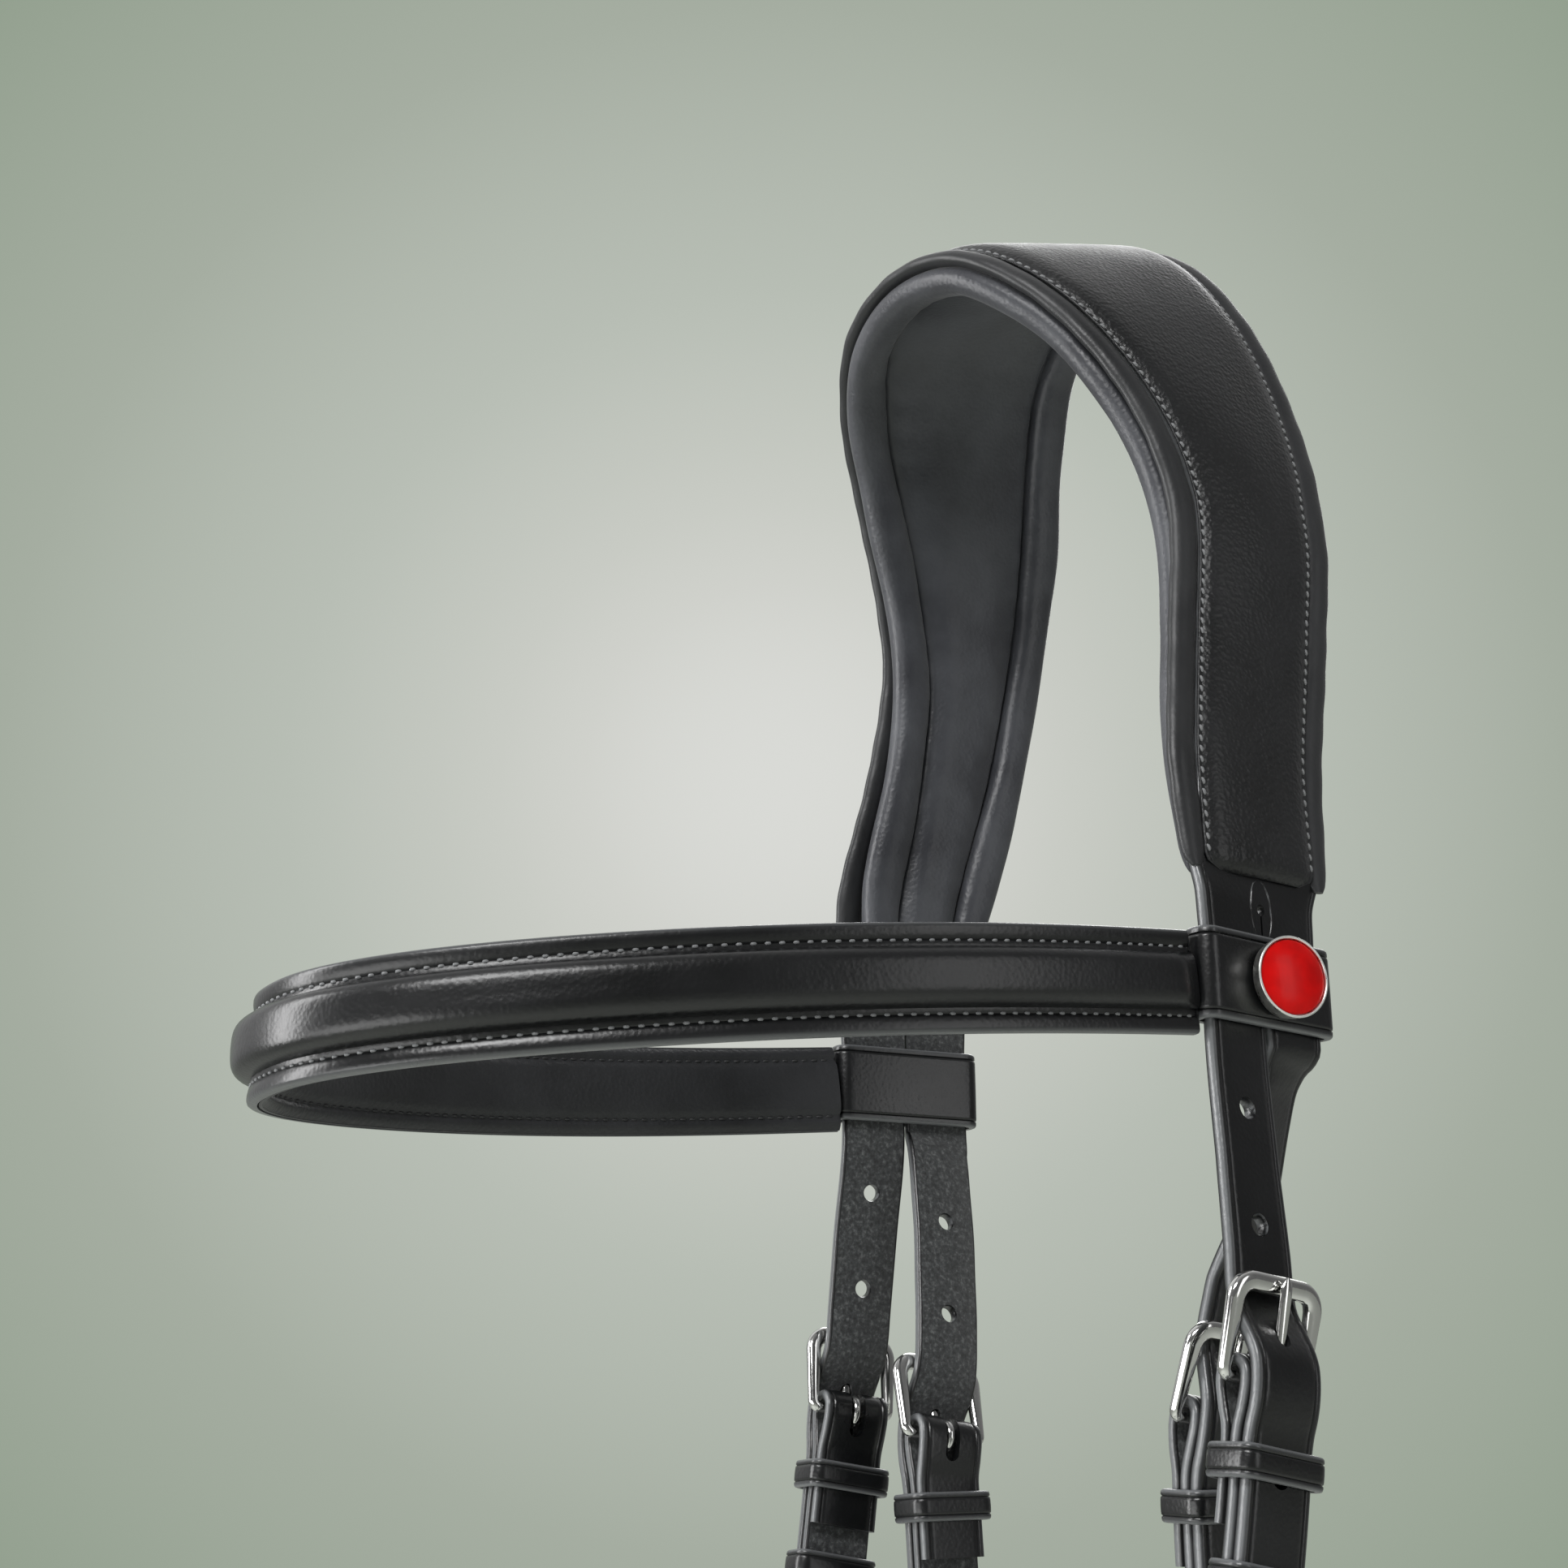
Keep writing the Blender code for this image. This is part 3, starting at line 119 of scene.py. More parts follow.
def finish_material(tree, links, **settings):
    """Ends a material's tree with its shader and output."""
    shader = add(tree, "BsdfPrincipled", links, **settings)
    add(tree, "OutputMaterial", {"Surface": shader.outputs["BSDF"]})


def grey(value):
    return (value, value, value, 1.0)


def leather(name, dark, light, rough, grain, pore, sheen=0.0, coat=0.0):
    """Leather: pores and fine creases in bump, cloudy colour and sheen, and paler edges,
    partly rubbed wear and partly a painted highlight.

    grain is the size of its pores and pore their depth, in metres. Its clouds are about 26 mm across.
    """
    material, tree, place = new_material(name)
    cloud = add(tree, "TexNoise", {"Vector": place}, Scale=38.0, Detail=4.0, Roughness=0.6)
    fine = add(tree, "TexNoise", {"Vector": place}, Scale=0.35 / grain, Detail=6.0, Roughness=0.62)
    cells = add(
        tree, "TexVoronoi", {"Vector": place}, Scale=0.5 / grain, feature="SMOOTH_F1", Smoothness=0.5
    )
    # Each mesh's edge share mixes in a pale grey: part rubbed wear, part painted highlight where cut edges
    # catch the light.
    worn_and_lit_edge = add(tree, "Attribute", attribute_name="wear_and_highlight")
    shades = [(0.32, linear(dark)), (0.72, linear(light))]
    colour = add(tree, "ValToRGB", {"Fac": cloud.outputs["Fac"]}, shades)
    edge_wear_and_highlight = add(tree, "Mix", {0: worn_and_lit_edge.outputs["Fac"], 6: colour.outputs["Color"]}, data_type="RGBA")
    edge_wear_and_highlight.inputs[7].default_value = linear("#6c6e70")
    shades = [(0.3, grey(rough * 0.84)), (0.75, grey(rough * 1.2))]
    gloss = add(tree, "ValToRGB", {"Fac": cloud.outputs["Fac"]}, shades)
    height = add(tree, "Math", {0: fine.outputs["Fac"], 1: cells.outputs["Distance"]}, operation="ADD")
    bump = add(tree, "Bump", {"Height": height.outputs[0]}, Strength=0.85, Distance=pore)
    links = {"Base Color": edge_wear_and_highlight.outputs[2], "Roughness": gloss.outputs[0], "Normal": bump.outputs[0]}
    coating = {"Sheen_Weight": sheen, "Sheen_Roughness": 0.5, "Coat_Weight": coat, "Coat_Roughness": 0.28}
    finish_material(tree, links, **coating)
    return material


# Bridle leather is waxed and rolled, which gives a close grain and a clear sheen. The crown's panel is
# softer, so its pores show. The rolls, the backing and the lining are thin hides with a duller, wider gloss.
bridle_leather = leather("bridle_leather", "#08090a", "#131416", 0.31, 0.00045, 0.00005, coat=0.25)
panel_leather = leather(
    "crown_panel_leather", "#0b0c0d", "#17181a", 0.38, 0.00048, 0.00016, sheen=0.03, coat=0.1
)
# The piping's base is paler than the other dark leathers, partly as a painted highlight for the broad lit
# band along the rolls.
roll_leather = leather("piping_leather", "#1b1c1e", "#28292b", 0.46, 0.00050, 0.00004, sheen=0.06, coat=0.05)
backing_leather = leather("band_backing_leather", "#1c1d1f", "#2a2b2e", 0.46, 0.00050, 0.00010, sheen=0.08)
lining_leather = leather("lining_leather", "#2f3035", "#4b4d52", 0.42, 0.00050, 0.00008, sheen=0.14)


def flesh_side():
    """The raw side of the strap leather: short matted fibres in greys.

    The fibres are drawn 0.7 mm long, in patches of 1.1 mm. Real ones are finer and wouldn't show.
    """
    material, tree, place = new_material("flesh_side_leather")
    fibre = add(tree, "TexNoise", {"Vector": place}, Scale=1500.0, Detail=5.0, Roughness=0.7)
    patch = add(tree, "TexNoise", {"Vector": place}, Scale=900.0, Detail=3.0)
    mixed = add(tree, "Math", {0: fibre.outputs["Fac"], 1: patch.outputs["Fac"]}, operation="MULTIPLY")
    shades = [(0.14, linear("#1f2021")), (0.27, linear("#383a3b")), (0.42, linear("#626464"))]
    colour = add(tree, "ValToRGB", {"Fac": mixed.outputs[0]}, shades)
    bump = add(tree, "Bump", {"Height": fibre.outputs["Fac"]}, Strength=0.9, Distance=0.00018)
    links = {"Base Color": colour.outputs[0], "Normal": bump.outputs[0]}
    finish_material(tree, links, Roughness=0.92, Sheen_Weight=0.35)
    return material


raw_leather = flesh_side()


def thread_material(name, shade):
    """Waxed thread: a twist of 0.24 mm over a soft sheen, about a third of the thread's thickness."""
    material, tree, place = new_material(name)
    twist = add(tree, "TexNoise", {"Vector": place}, Scale=4200.0, Detail=2.0)
    shades = [(0.3, linear(shade)), (0.8, grey(linear(shade)[0] * 1.6))]
    colour = add(tree, "ValToRGB", {"Fac": twist.outputs["Fac"]}, shades)
    bump = add(tree, "Bump", {"Height": twist.outputs["Fac"]}, Strength=0.6, Distance=0.00006)
    finish_material(tree, {"Base Color": colour.outputs[0], "Normal": bump.outputs[0]}, Roughness=0.55)
    return material


grey_thread = thread_material("grey_thread", "#747679")
dark_thread = thread_material("black_thread", "#2a2b2d")


def metal(name, shade, rough):
    """Polished cast metal: even and bright, with faint marks of wear, 2.4 mm long, in its gloss."""
    material, tree, place = new_material(name)
    wear = add(tree, "TexNoise", {"Vector": place}, Scale=420.0, Detail=5.0, Roughness=0.7)
    shades = [(0.35, grey(rough * 0.7)), (0.75, grey(rough * 1.5))]
    gloss = add(tree, "ValToRGB", {"Fac": wear.outputs["Fac"]}, shades)
    bump = add(tree, "Bump", {"Height": wear.outputs["Fac"]}, Strength=0.12, Distance=0.00005)
    links = {"Roughness": gloss.outputs[0], "Normal": bump.outputs[0]}
    finish_material(tree, links, Base_Color=linear(shade), Metallic=1.0)
    return material


# Buckles and rings are polished bright. The medallions' cups are left satin, which spreads their highlights.
steel = metal("polished_steel", "#dcdcda", 0.13)
cup_steel = metal("satin_steel", "#e8e8e4", 0.34)


def enamel():
    """Fired red enamel: an even glossy surface with a very slight ripple, about 4 mm long."""
    material, tree, place = new_material("red_enamel")
    ripple = add(tree, "TexNoise", {"Vector": place}, Scale=260.0, Detail=2.0)
    shades = [(0.3, linear("#c00202")), (0.7, linear("#d80504"))]
    colour = add(tree, "ValToRGB", {"Fac": ripple.outputs["Fac"]}, shades)
    bump = add(tree, "Bump", {"Height": ripple.outputs["Fac"]}, Strength=0.2, Distance=0.00008)
    gloss = {"Roughness": 0.32, "Specular_IOR_Level": 0.2, "Coat_Weight": 0.06, "Coat_Roughness": 0.06}
    finish_material(tree, {"Base Color": colour.outputs[0], "Normal": bump.outputs[0]}, **gloss)
    return material


red_enamel = enamel()


# Surfaces
def unit(vectors):
    vectors = np.asarray(vectors, float)
    return vectors / np.linalg.norm(vectors, axis=-1, keepdims=True)


def eased(share):
    return share * share * (3 - 2 * share)


def circle(count):
    """Angles at even steps round a circle."""
    return 2 * np.pi * np.arange(count) / count


def squared(turn, power):
    """Cosine and sine of each angle raised to a power with their signs kept, which squares off a circle."""
    return [np.sign(wave) * np.abs(wave) ** power for wave in (np.cos(turn), np.sin(turn))]


def along_curve(points):
    """Length from the start at each point of a curve."""
    return np.concatenate([[0], np.cumsum(np.linalg.norm(np.diff(points, axis=0), axis=1))])


def read_at(field, reach, at):
    """A field of vectors, given at the lengths reach, read at the lengths at."""
    return np.stack([np.interp(at, reach, axis) for axis in field.T], axis=1)


def hermite(points, reach, at):
    """Cubic Hermite curve through the points, with slopes by length, read at the lengths at."""
    slopes = np.gradient(points, reach, axis=0)
    which = np.clip(np.searchsorted(reach, at, side="right") - 1, 0, len(reach) - 2)
    span = np.diff(reach)[which][:, None]
    share = (at - reach[which])[:, None] / span
    rise = 3 * share**2 - 2 * share**3
    ends = points[which] * (1 - rise) + points[which + 1] * rise
    swing = slopes[which] * (share**3 - 2 * share**2 + share) + slopes[which + 1] * (share**3 - share**2)
    return ends + span * swing


def smooth_curve(points, count):
    """Curve through the points at even steps along its length."""
    points = np.asarray(points, float)
    reach = along_curve(points)
    share = np.linspace(0, 1, 24, endpoint=False)
    steps = [start + (end - start) * share for start, end in zip(reach, reach[1:])]
    fine = hermite(points, reach, np.concatenate([*steps, reach[-1:]]))
    reach = along_curve(fine)
    return read_at(fine, reach, np.linspace(0, reach[-1], count))


def both_sides(a, b):
    """A section's right half and its mirror image, as one outline."""
    return np.hstack([a, -a[:, -2::-1]]), np.hstack([b, b[:, -2::-1]])


def ring_quads(stations, around, closed=False):
    """Faces between neighbouring rings, as their corners' numbers."""
    row = np.arange(stations if closed else stations - 1)[:, None]
    column = np.arange(around)[None, :]
    after, beside = (row + 1) % stations, (column + 1) % around
    corners = ((row, column), (row, beside), (after, beside), (after, column))
    return np.stack([ring * around + spot for ring, spot in corners], -1).reshape(-1, 4)


def skin(name, rings, materials, body, wear_and_highlight=None, closed=False, faces_of=None):
    """A closed surface over an array of rings, stations by ring points by 3, as one piece on a body.

    Ends are closed by a fan to their middle unless the rings join in a loop. The argument after body gives
    each ring point's share of pale edge colour, part rubbed wear and part painted highlight, and faces_of
    gives each ring face's material.
    """
    stations, around, _ = rings.shape
    points = rings.reshape(-1, 3)
    faces = ring_quads(stations, around, closed).tolist()
    kinds = np.zeros(around, int) if faces_of is None else np.asarray(faces_of)
    kinds = np.tile(kinds, len(faces) // around).tolist()
    edge_wear_and_highlight = np.tile(np.zeros(around) if wear_and_highlight is None else np.asarray(wear_and_highlight, float), stations)
    if not closed:
        middles = np.stack([rings[0].mean(0), rings[-1].mean(0)])
        ring = np.arange(around)
        end = (stations - 1) * around
        faces += [(int(b), int(a), len(points)) for a, b in zip(ring, np.roll(ring, -1))]
        faces += [(int(end + a), int(end + b), len(points) + 1) for a, b in zip(ring, np.roll(ring, -1))]
        kinds += [0] * (2 * around)
        points = np.vstack([points, middles])
        edge_wear_and_highlight = np.concatenate([edge_wear_and_highlight, [0, 0]])
    mesh = bpy.data.meshes.new(name)
    mesh.from_pydata(points.tolist(), [], faces)
    for material in materials:
        mesh.materials.append(material)
    mesh.polygons.foreach_set("material_index", kinds)
    mesh.attributes.new("wear_and_highlight", "FLOAT", "POINT").data.foreach_set("value", edge_wear_and_highlight)
    work = bmesh.new()
    work.from_mesh(mesh)
    bmesh.ops.recalc_face_normals(work, faces=work.faces)
    work.to_mesh(mesh)
    work.free()
    return placed(name, mesh, body)


def placed(name, mesh, body):
    """The mesh as a piece with sharp edges over 50 degrees, on its body."""
    mesh.shade_smooth()
    mesh.set_sharp_from_angle(angle=math.radians(50))
    piece = bpy.data.objects.new(name, mesh)
    bpy.context.scene.collection.objects.link(piece)
    if body:
        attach(piece, body)
    return piece


def swept(centre, across, outward, a, b):
    """Rings of section points a across and b outward. a and b are arrays of stations by ring points."""
    return centre[:, None] + across[:, None] * a[..., None] + outward[:, None] * b[..., None]


def stitches(name, line, along, outward, pitch, body, length_share=0.72, radius=0.00032, thread=grey_thread):
    """A row of sewing: a short rounded thread at each pitch along a line, with its ends dipping in.

    Each stitch is a spindle: radius times the root of 1 - s^4 at share s of its half length.
    """
    reach = along_curve(line)
    at = np.arange(pitch / 2, reach[-1], pitch)
    centre = read_at(line, reach, at)
    forward, up = [unit(read_at(field, reach, at)) for field in (along, outward)]
    side = np.cross(up, forward)
    share = np.array([-1, -0.85, -0.5, 0, 0.5, 0.85, 1])
    girth = radius * np.sqrt(np.maximum(1 - share**4, 0.02))
    dip = -radius * 1.1 * share**4
    turn = circle(8)
    ring = (
        forward[:, None, None] * (share * pitch * length_share / 2)[None, :, None, None]
        + up[:, None, None] * (dip[:, None] + girth[:, None] * np.sin(turn))[None, ..., None]
        + side[:, None, None] * (girth[:, None] * np.cos(turn))[None, ..., None]
    )
    points = (centre[:, None, None] + ring).reshape(-1, 3)
    stations, around = len(share), len(turn)
    first = np.arange(len(at))[:, None, None] * stations * around
    faces = (ring_quads(stations, around)[None] + first).reshape(-1, 4).tolist()
    ends = [np.arange(around)[::-1], (stations - 1) * around + np.arange(around)]
    for begin in np.arange(len(at)) * stations * around:
        faces += [tuple((begin + end).tolist()) for end in ends]
    mesh = bpy.data.meshes.new(name)
    mesh.from_pydata(points.tolist(), [], faces)
    mesh.materials.append(thread)
    return placed(name, mesh, body)


# Crown: the padded headpiece that lies behind the ears. A soft lining with a stuffed roll along each edge is
# sewn under an outer panel, with a round piping between them; the panel is drawn down along its two seams.
loop_height = -0.1810
crown_pitch = 0.0024


def crown_edge(places):
    """One edge of the crown, from the right leg to the left, from places on the left half."""
    left = np.array(places)
    edge = np.vstack([left[:-1] * np.array([-1, 1, 1]), left[::-1]])
    return smooth_curve(edge, 261) + np.array([0, 0, loop_height])


front_edge = crown_edge([
    (0.0632, -0.0138, 0.0215), (0.0610, -0.0124, 0.0450), (0.0563, -0.0078, 0.0780),
    (0.0545, -0.0064, 0.1000), (0.0521, -0.0104, 0.1209), (0.0460, -0.0196, 0.1420),
    (0.0358, -0.0304, 0.1592), (0.0212, -0.0380, 0.1708), (0, -0.0405, 0.1752),
])
rear_edge = crown_edge([
    (0.0610, 0.0196, 0.0210), (0.0590, 0.0240, 0.0450), (0.0570, 0.0328, 0.0790),
    (0.0555, 0.0390, 0.1100), (0.0480, 0.0397, 0.1399), (0.0390, 0.0361, 0.1665),
    (0.0293, 0.0327, 0.1828), (0.0156, 0.0310, 0.1938), (0, 0.0300, 0.1970),
])
crown_middle = (front_edge + rear_edge) / 2
crown_across = unit(rear_edge - front_edge)
crown_along = unit(np.gradient(crown_middle, axis=0))
crown_out = unit(np.cross(crown_along, crown_across))
crown_width = np.linalg.norm(rear_edge - front_edge, axis=1)
crown_reach = along_curve(crown_middle)
crown_end = np.minimum(crown_reach, crown_reach[-1] - crown_reach)


def rounded_end(length, least):
    """Share of full size near the crown's ends: a quarter ellipse over this length, from its least value."""
    share = np.clip(crown_end / length, 0, 1)
    return least + (1 - least) * np.sqrt(1 - (1 - share) ** 2)


gathered = eased(np.clip(crown_end / 0.030, 0, 1))
roll_width, roll_height = 0.0098, 0.0064
roll_top = 0.0006
roll_middle = roll_top - roll_height / 2
tray = roll_middle + roll_height * 0.05


def puckers(reach, pitch, strength, seed):
    """Small uneven gathers along a seam: a wave at the sewing's pitch times a slow random swell."""
    knots = np.random.default_rng(seed).uniform(0.3, 1, int(reach[-1] / 0.012) + 3)
    swell = np.interp(reach, np.linspace(0, reach[-1], len(knots)), knots)
    return strength * swell * np.cos(2 * np.pi * reach / pitch)


def lining_rings():
    """Rolls that are rounder than half circles, a deep channel beside each, and a puffed middle.

    A roll's outline is a superellipse of power 2.4, and the middle swells as a cosine across its width.
    """
    inner = (crown_width / 2 - roll_width)[:, None]
    thin = rounded_end(0.0095, 0.22)[:, None]
    slim = (0.66 + 0.34 * gathered)[:, None]
    round_a, round_b = squared(np.linspace(np.radians(172), np.radians(-176), 30), 2 / 2.4)
    under = np.maximum(-round_b, 0)
    slow = (0.00025 * np.sin(crown_reach / 0.017) + 0.0002 * np.sin(crown_reach / 0.0061 + 1))[:, None]
    roll_a = inner + roll_width / 2 * (1 + round_a * 1.02) * slim + slow * round_a
    gather = puckers(crown_reach, 0.0075, 0.00022, 3)[:, None] * under * np.maximum(-round_a, 0)
    roll_b = roll_middle + roll_height / 2 * round_b * 1.03 - np.abs(slow) * under + gather
    roll_b = roll_top + (roll_b - roll_top) * thin
    channel = 0.985
    share = np.linspace(channel, 0, 22)
    uneven = (1 + 0.12 * np.sin(crown_reach / 0.011))[:, None]
    swell = 0.0023 * (np.cos(np.pi * share**2) + 1) / 2 * uneven
    folds = puckers(crown_reach, 0.0088, 0.00020, 5)[:, None] * share**3
    middle_b = roll_top + (tray - 0.0008 - swell + folds - roll_top) * thin
    middle_b += 0.0018 * np.exp(-(((channel - share) / 0.04) ** 2)) * thin
    a, b = both_sides(np.hstack([roll_a, inner * share]), np.hstack([roll_b, middle_b]))
    return swept(crown_middle, crown_across, crown_out, a, b)


crown_lining = skin("crown_lining_pad", lining_rings(), [lining_leather], "headpiece")
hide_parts("crown_lining", "crown_padding")

panel_low = 0.0038
panel_thick = 0.0018
seam_inset = 0.0008
panel_half = np.maximum(0.0300, crown_width - 0.0164) / 2
panel_corner = panel_half - 0.0040 * (1 - rounded_end(0.0040, 0))
panel_middle = crown_middle - crown_across * 0.0015 * gathered[:, None]


def panel_rings():
    """Outer panel: a thin rounded edge, a sewn channel along it and a low swell between the channels."""
    inset = np.array([0, 0, 0.1, 0.3, 0.5, 0.65, 0.8, 0.95, 1.15, 1.5, 2.0, 2.8, 3.9, 5.5, 7.5]) * 1e-3
    rise = np.array([0, 0.16, 0.24, 0.26, 0.26, 0.25, 0.24, 0.27, 0.35, 0.48, 0.64, 0.84, 1.0, 1.13, 1.2])
    thin = rounded_end(0.0050, 0.25)[:, None]
    rise = rise * panel_thick * thin
    share = np.linspace(0.78, 0, 9)[1:]
    inward = share / 0.78
    edge_a = panel_corner[:, None] - inset
    pull = np.exp(-(((inset - seam_inset) / 0.0012) ** 2))
    edge_b = panel_low + rise + puckers(crown_reach, crown_pitch * 2, 0.00007, 11)[:, None] * pull
    drift = 0.00022 * np.sin(crown_reach / 0.021)[:, None]
    top = rise[:, -1:] + panel_thick * 0.18 * (1 - inward**2) * thin
    middle_b = panel_low + top + drift * (1 - inward)
    a, b = both_sides(np.hstack([edge_a, edge_a[:, -1:] * inward]), np.hstack([edge_b, middle_b]))
    return swept(panel_middle, crown_across, crown_out, a, b), np.concatenate([inset, inset[-1] + share])


panel_points, panel_inset = panel_rings()
# A faint pale edge on the panel, part rubbed wear and part painted highlight.
panel_wear_and_highlight = np.exp(-((panel_inset / 0.0003) ** 2)) * 0.1
panel_wear_and_highlight = np.concatenate([panel_wear_and_highlight, panel_wear_and_highlight[-2::-1]])
crown_panel = skin(
    "crown_panel_leather", panel_points, [panel_leather], "headpiece", panel_wear_and_highlight
)
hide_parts("crown_panel")

for side, word in ((-1, "front"), (1, "rear")):
    tip = rounded_end(0.012, 0)
    place = side * (panel_half + 0.0031 - 0.0012 * (1 - gathered))
    lift = 0.0023 + 0.0011 * (1 - tip)
    middle = panel_middle + crown_across * place[:, None] + crown_out * lift[:, None]
    turn = circle(16)
    girth = ((0.0019 + 0.00005 * np.sin(crown_reach / 0.0017)) * (0.36 + 0.64 * tip))[:, None]
    ring = swept(middle, crown_across, crown_out, girth * 1.75 * np.cos(turn), girth * np.sin(turn))
    piping = skin("crown_piping_" + word + "_cord", ring, [roll_leather], "headpiece")
    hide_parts("crown_piping_" + word)
    seam = panel_middle + crown_across * side * (panel_corner - seam_inset)[:, None]
    seam = (seam + crown_out * (panel_low + panel_thick * 0.28))[2:-2]
    run = unit(unit(np.gradient(seam, axis=0)) + crown_across[2:-2] * 0.42)
    stitches("crown_sewing_" + word, seam, run, crown_out[2:-2], crown_pitch, "headpiece", radius=0.00036)


# Straps: cut from one side of bridle leather, 16 mm wide, with rounded edges and a pressed line beside each.
# A strap follows a line that can be read at any length, and may rise off it or fold back along it.
strap_width, tail_thickness, ply_thickness = 0.0161, 0.0026, 0.0024


class Line:
    """A smooth line with its along, across and outward directions. Past its ends it runs on straight."""

    def __init__(self, points, hints, flip=1):
        points = np.asarray(points, float)
        self.points = smooth_curve(points, 361)
        self.reach = along_curve(self.points)
        self.length = self.reach[-1]
        self.along = unit(np.gradient(self.points, axis=0))
        share = along_curve(points)
        hint = np.broadcast_to(np.asarray(hints, float), points.shape)
        hint = read_at(hint, share, self.reach * share[-1] / self.length)
        self.across = unit(hint - self.along * np.sum(self.along * hint, axis=1)[:, None])
        self.outward = np.cross(self.across, self.along) * flip

    def at(self, lengths):
        """Centres, along, across and outward directions at these lengths."""
        lengths = np.atleast_1d(np.asarray(lengths, float))
        inside = np.clip(lengths, 0, self.length)
        fields = (self.points, self.along, self.across, self.outward)
        centre, *ways = [read_at(field, self.reach, inside) for field in fields]
        along, across, outward = [unit(way) for way in ways]
        return centre + along * (lengths - inside)[:, None], along, across, outward


def strap_section(width, thickness):
    """Strap outline: rounded edges, an outer face with a crease near each edge, and a flat flesh side.

    Returns the across and outward places at each station, each point's share of pale edge colour, part
    rubbed wear and part painted highlight, and each face's material: 0 for the dyed grain side and edges and
    1 for the flesh side.
    """
    inset = np.array([0, 0.06, 0.2, 0.5, 0.95, 1.45, 1.65, 1.8, 1.95, 2.15, 3.0, 4.6]) * 1e-3
    rise = np.array([0.02, 0.42, 0.72, 0.91, 0.99, 0.99, 0.90, 0.80, 0.90, 1.00, 1.03, 1.05])
    under = np.array([0.7, 0.25, 0.06]) * 1e-3
    lower = np.array([-0.97, -0.80, -0.45])
    half = np.asarray(width, float)[:, None] / 2
    slim = np.minimum(half * 2 / strap_width, 1)
    right = half - inset * slim
    below = half - under * slim
    middle = np.zeros_like(half)
    a = np.hstack([right, middle, -right[:, ::-1], -below[:, ::-1], middle, below])
    b = np.concatenate([rise, [1.06], rise[::-1], lower[::-1], [-1.0], lower])
    b = np.broadcast_to(b * thickness / 2, a.shape)
    # Pale edge colour on both edges and a little at the flesh side's corners: part rubbed wear, part painted
    # highlight.
    worn_and_lit_edge = np.exp(-((inset * 1e3 / 0.55) ** 2))
    wear_and_highlight = np.concatenate([worn_and_lit_edge, [0], worn_and_lit_edge[::-1], [0.3, 0, 0, 0, 0, 0, 0.3]])
    faces = np.zeros(a.shape[1], int)
    grain = 2 * len(inset) + 1
    faces[grain + 2 : grain + 4] = 1
    return a, b, wear_and_highlight, faces


def strap(name, line, path, thickness, body):
    """A strap over (length, level, width) places on a line, up it or down it, with its ends closed."""
    path = np.asarray(path, float)
    run = along_curve(path[:, :2])
    counts = np.maximum(2, (np.diff(run) / 0.0009).astype(int))
    steps = [np.linspace(a, b, count, endpoint=False) for a, b, count in zip(run, run[1:], counts)]
    at = np.concatenate([*steps, run[-1:]])
    fine = hermite(path, run, at)
    heading = unit(np.gradient(fine[:, :2], at, axis=0))
    centre, along, across, outward = line.at(fine[:, 0])
    facing = (outward * heading[:, :1] - along * heading[:, 1:]) * np.sign(path[-1, 0] - path[0, 0])
    a, b, wear_and_highlight, faces = strap_section(fine[:, 2], thickness)
    rings = swept(centre + outward * fine[:, 1:2], across, facing, a, b)
    return skin(name, rings, [bridle_leather, raw_leather], body, wear_and_highlight, faces_of=faces)


def cutter_rings(rings, closed=False):
    """A closed cutter over rings of points, with flat ends unless the rings join in a loop."""
    mesh = bmesh.new()
    made = [[mesh.verts.new(point) for point in ring] for ring in rings]
    for first, second in zip(made, made[1:] + made[:1] if closed else made[1:]):
        for index in range(len(first)):
            after = (index + 1) % len(first)
            mesh.faces.new((first[index], first[after], second[after], second[index]))
    if not closed:
        mesh.faces.new(made[0])
        mesh.faces.new(made[-1])
    bmesh.ops.recalc_face_normals(mesh, faces=mesh.faces)
    return mesh


def punched(piece, shapes, solver="EXACT"):
    """Cuts shapes out of a piece and keeps its clean surface as the new mesh."""
    whole = bmesh.new()
    for shape in shapes:
        part = bpy.data.meshes.new("punch")
        shape.to_mesh(part)
        shape.free()
        whole.from_mesh(part)
        bpy.data.meshes.remove(part)
    data = bpy.data.meshes.new(piece.name + "_punch")
    whole.to_mesh(data)
    whole.free()
    data.materials.append(piece.data.materials[0])
    cutter = bpy.data.objects.new(piece.name + "_punch", data)
    bpy.context.scene.collection.objects.link(cutter)
    opening = piece.modifiers.new("opening", "BOOLEAN")
    opening.object = cutter
    opening.operation = "DIFFERENCE"
    opening.solver = solver
    bpy.context.view_layer.update()
    seen = piece.evaluated_get(bpy.context.evaluated_depsgraph_get())
    done = bpy.data.meshes.new_from_object(seen)
    piece.modifiers.clear()
    old, piece.data = piece.data, done
    bpy.data.meshes.remove(old)
    bpy.data.objects.remove(cutter)
    bpy.data.meshes.remove(data)
    done.name = piece.name
    done.shade_smooth()
    done.set_sharp_from_angle(angle=math.radians(50))


def oval(centre, across, along, wide, tall, count):
    """Points round an ellipse from its half widths across and along."""
    turn = circle(count)
    return centre + np.outer(np.cos(turn) * wide, across) + np.outer(np.sin(turn) * tall, along)


def hole(line, length, level):
    """A punched hole through a strap, a little wider at both faces."""
    centre, along, across, outward = [way[0] for way in line.at(length)]
    rings = []
    for depth, wide in ((-2.0, 1.22), (-0.5, 1.10), (-0.36, 1.0), (0.34, 1.0), (0.50, 1.16), (2.0, 1.5)):
        spot = centre + outward * (level + depth * tail_thickness)
        rings.append(oval(spot, across, along, 0.0019 * wide, 0.0019 * wide, 28))
    return cutter_rings(rings)


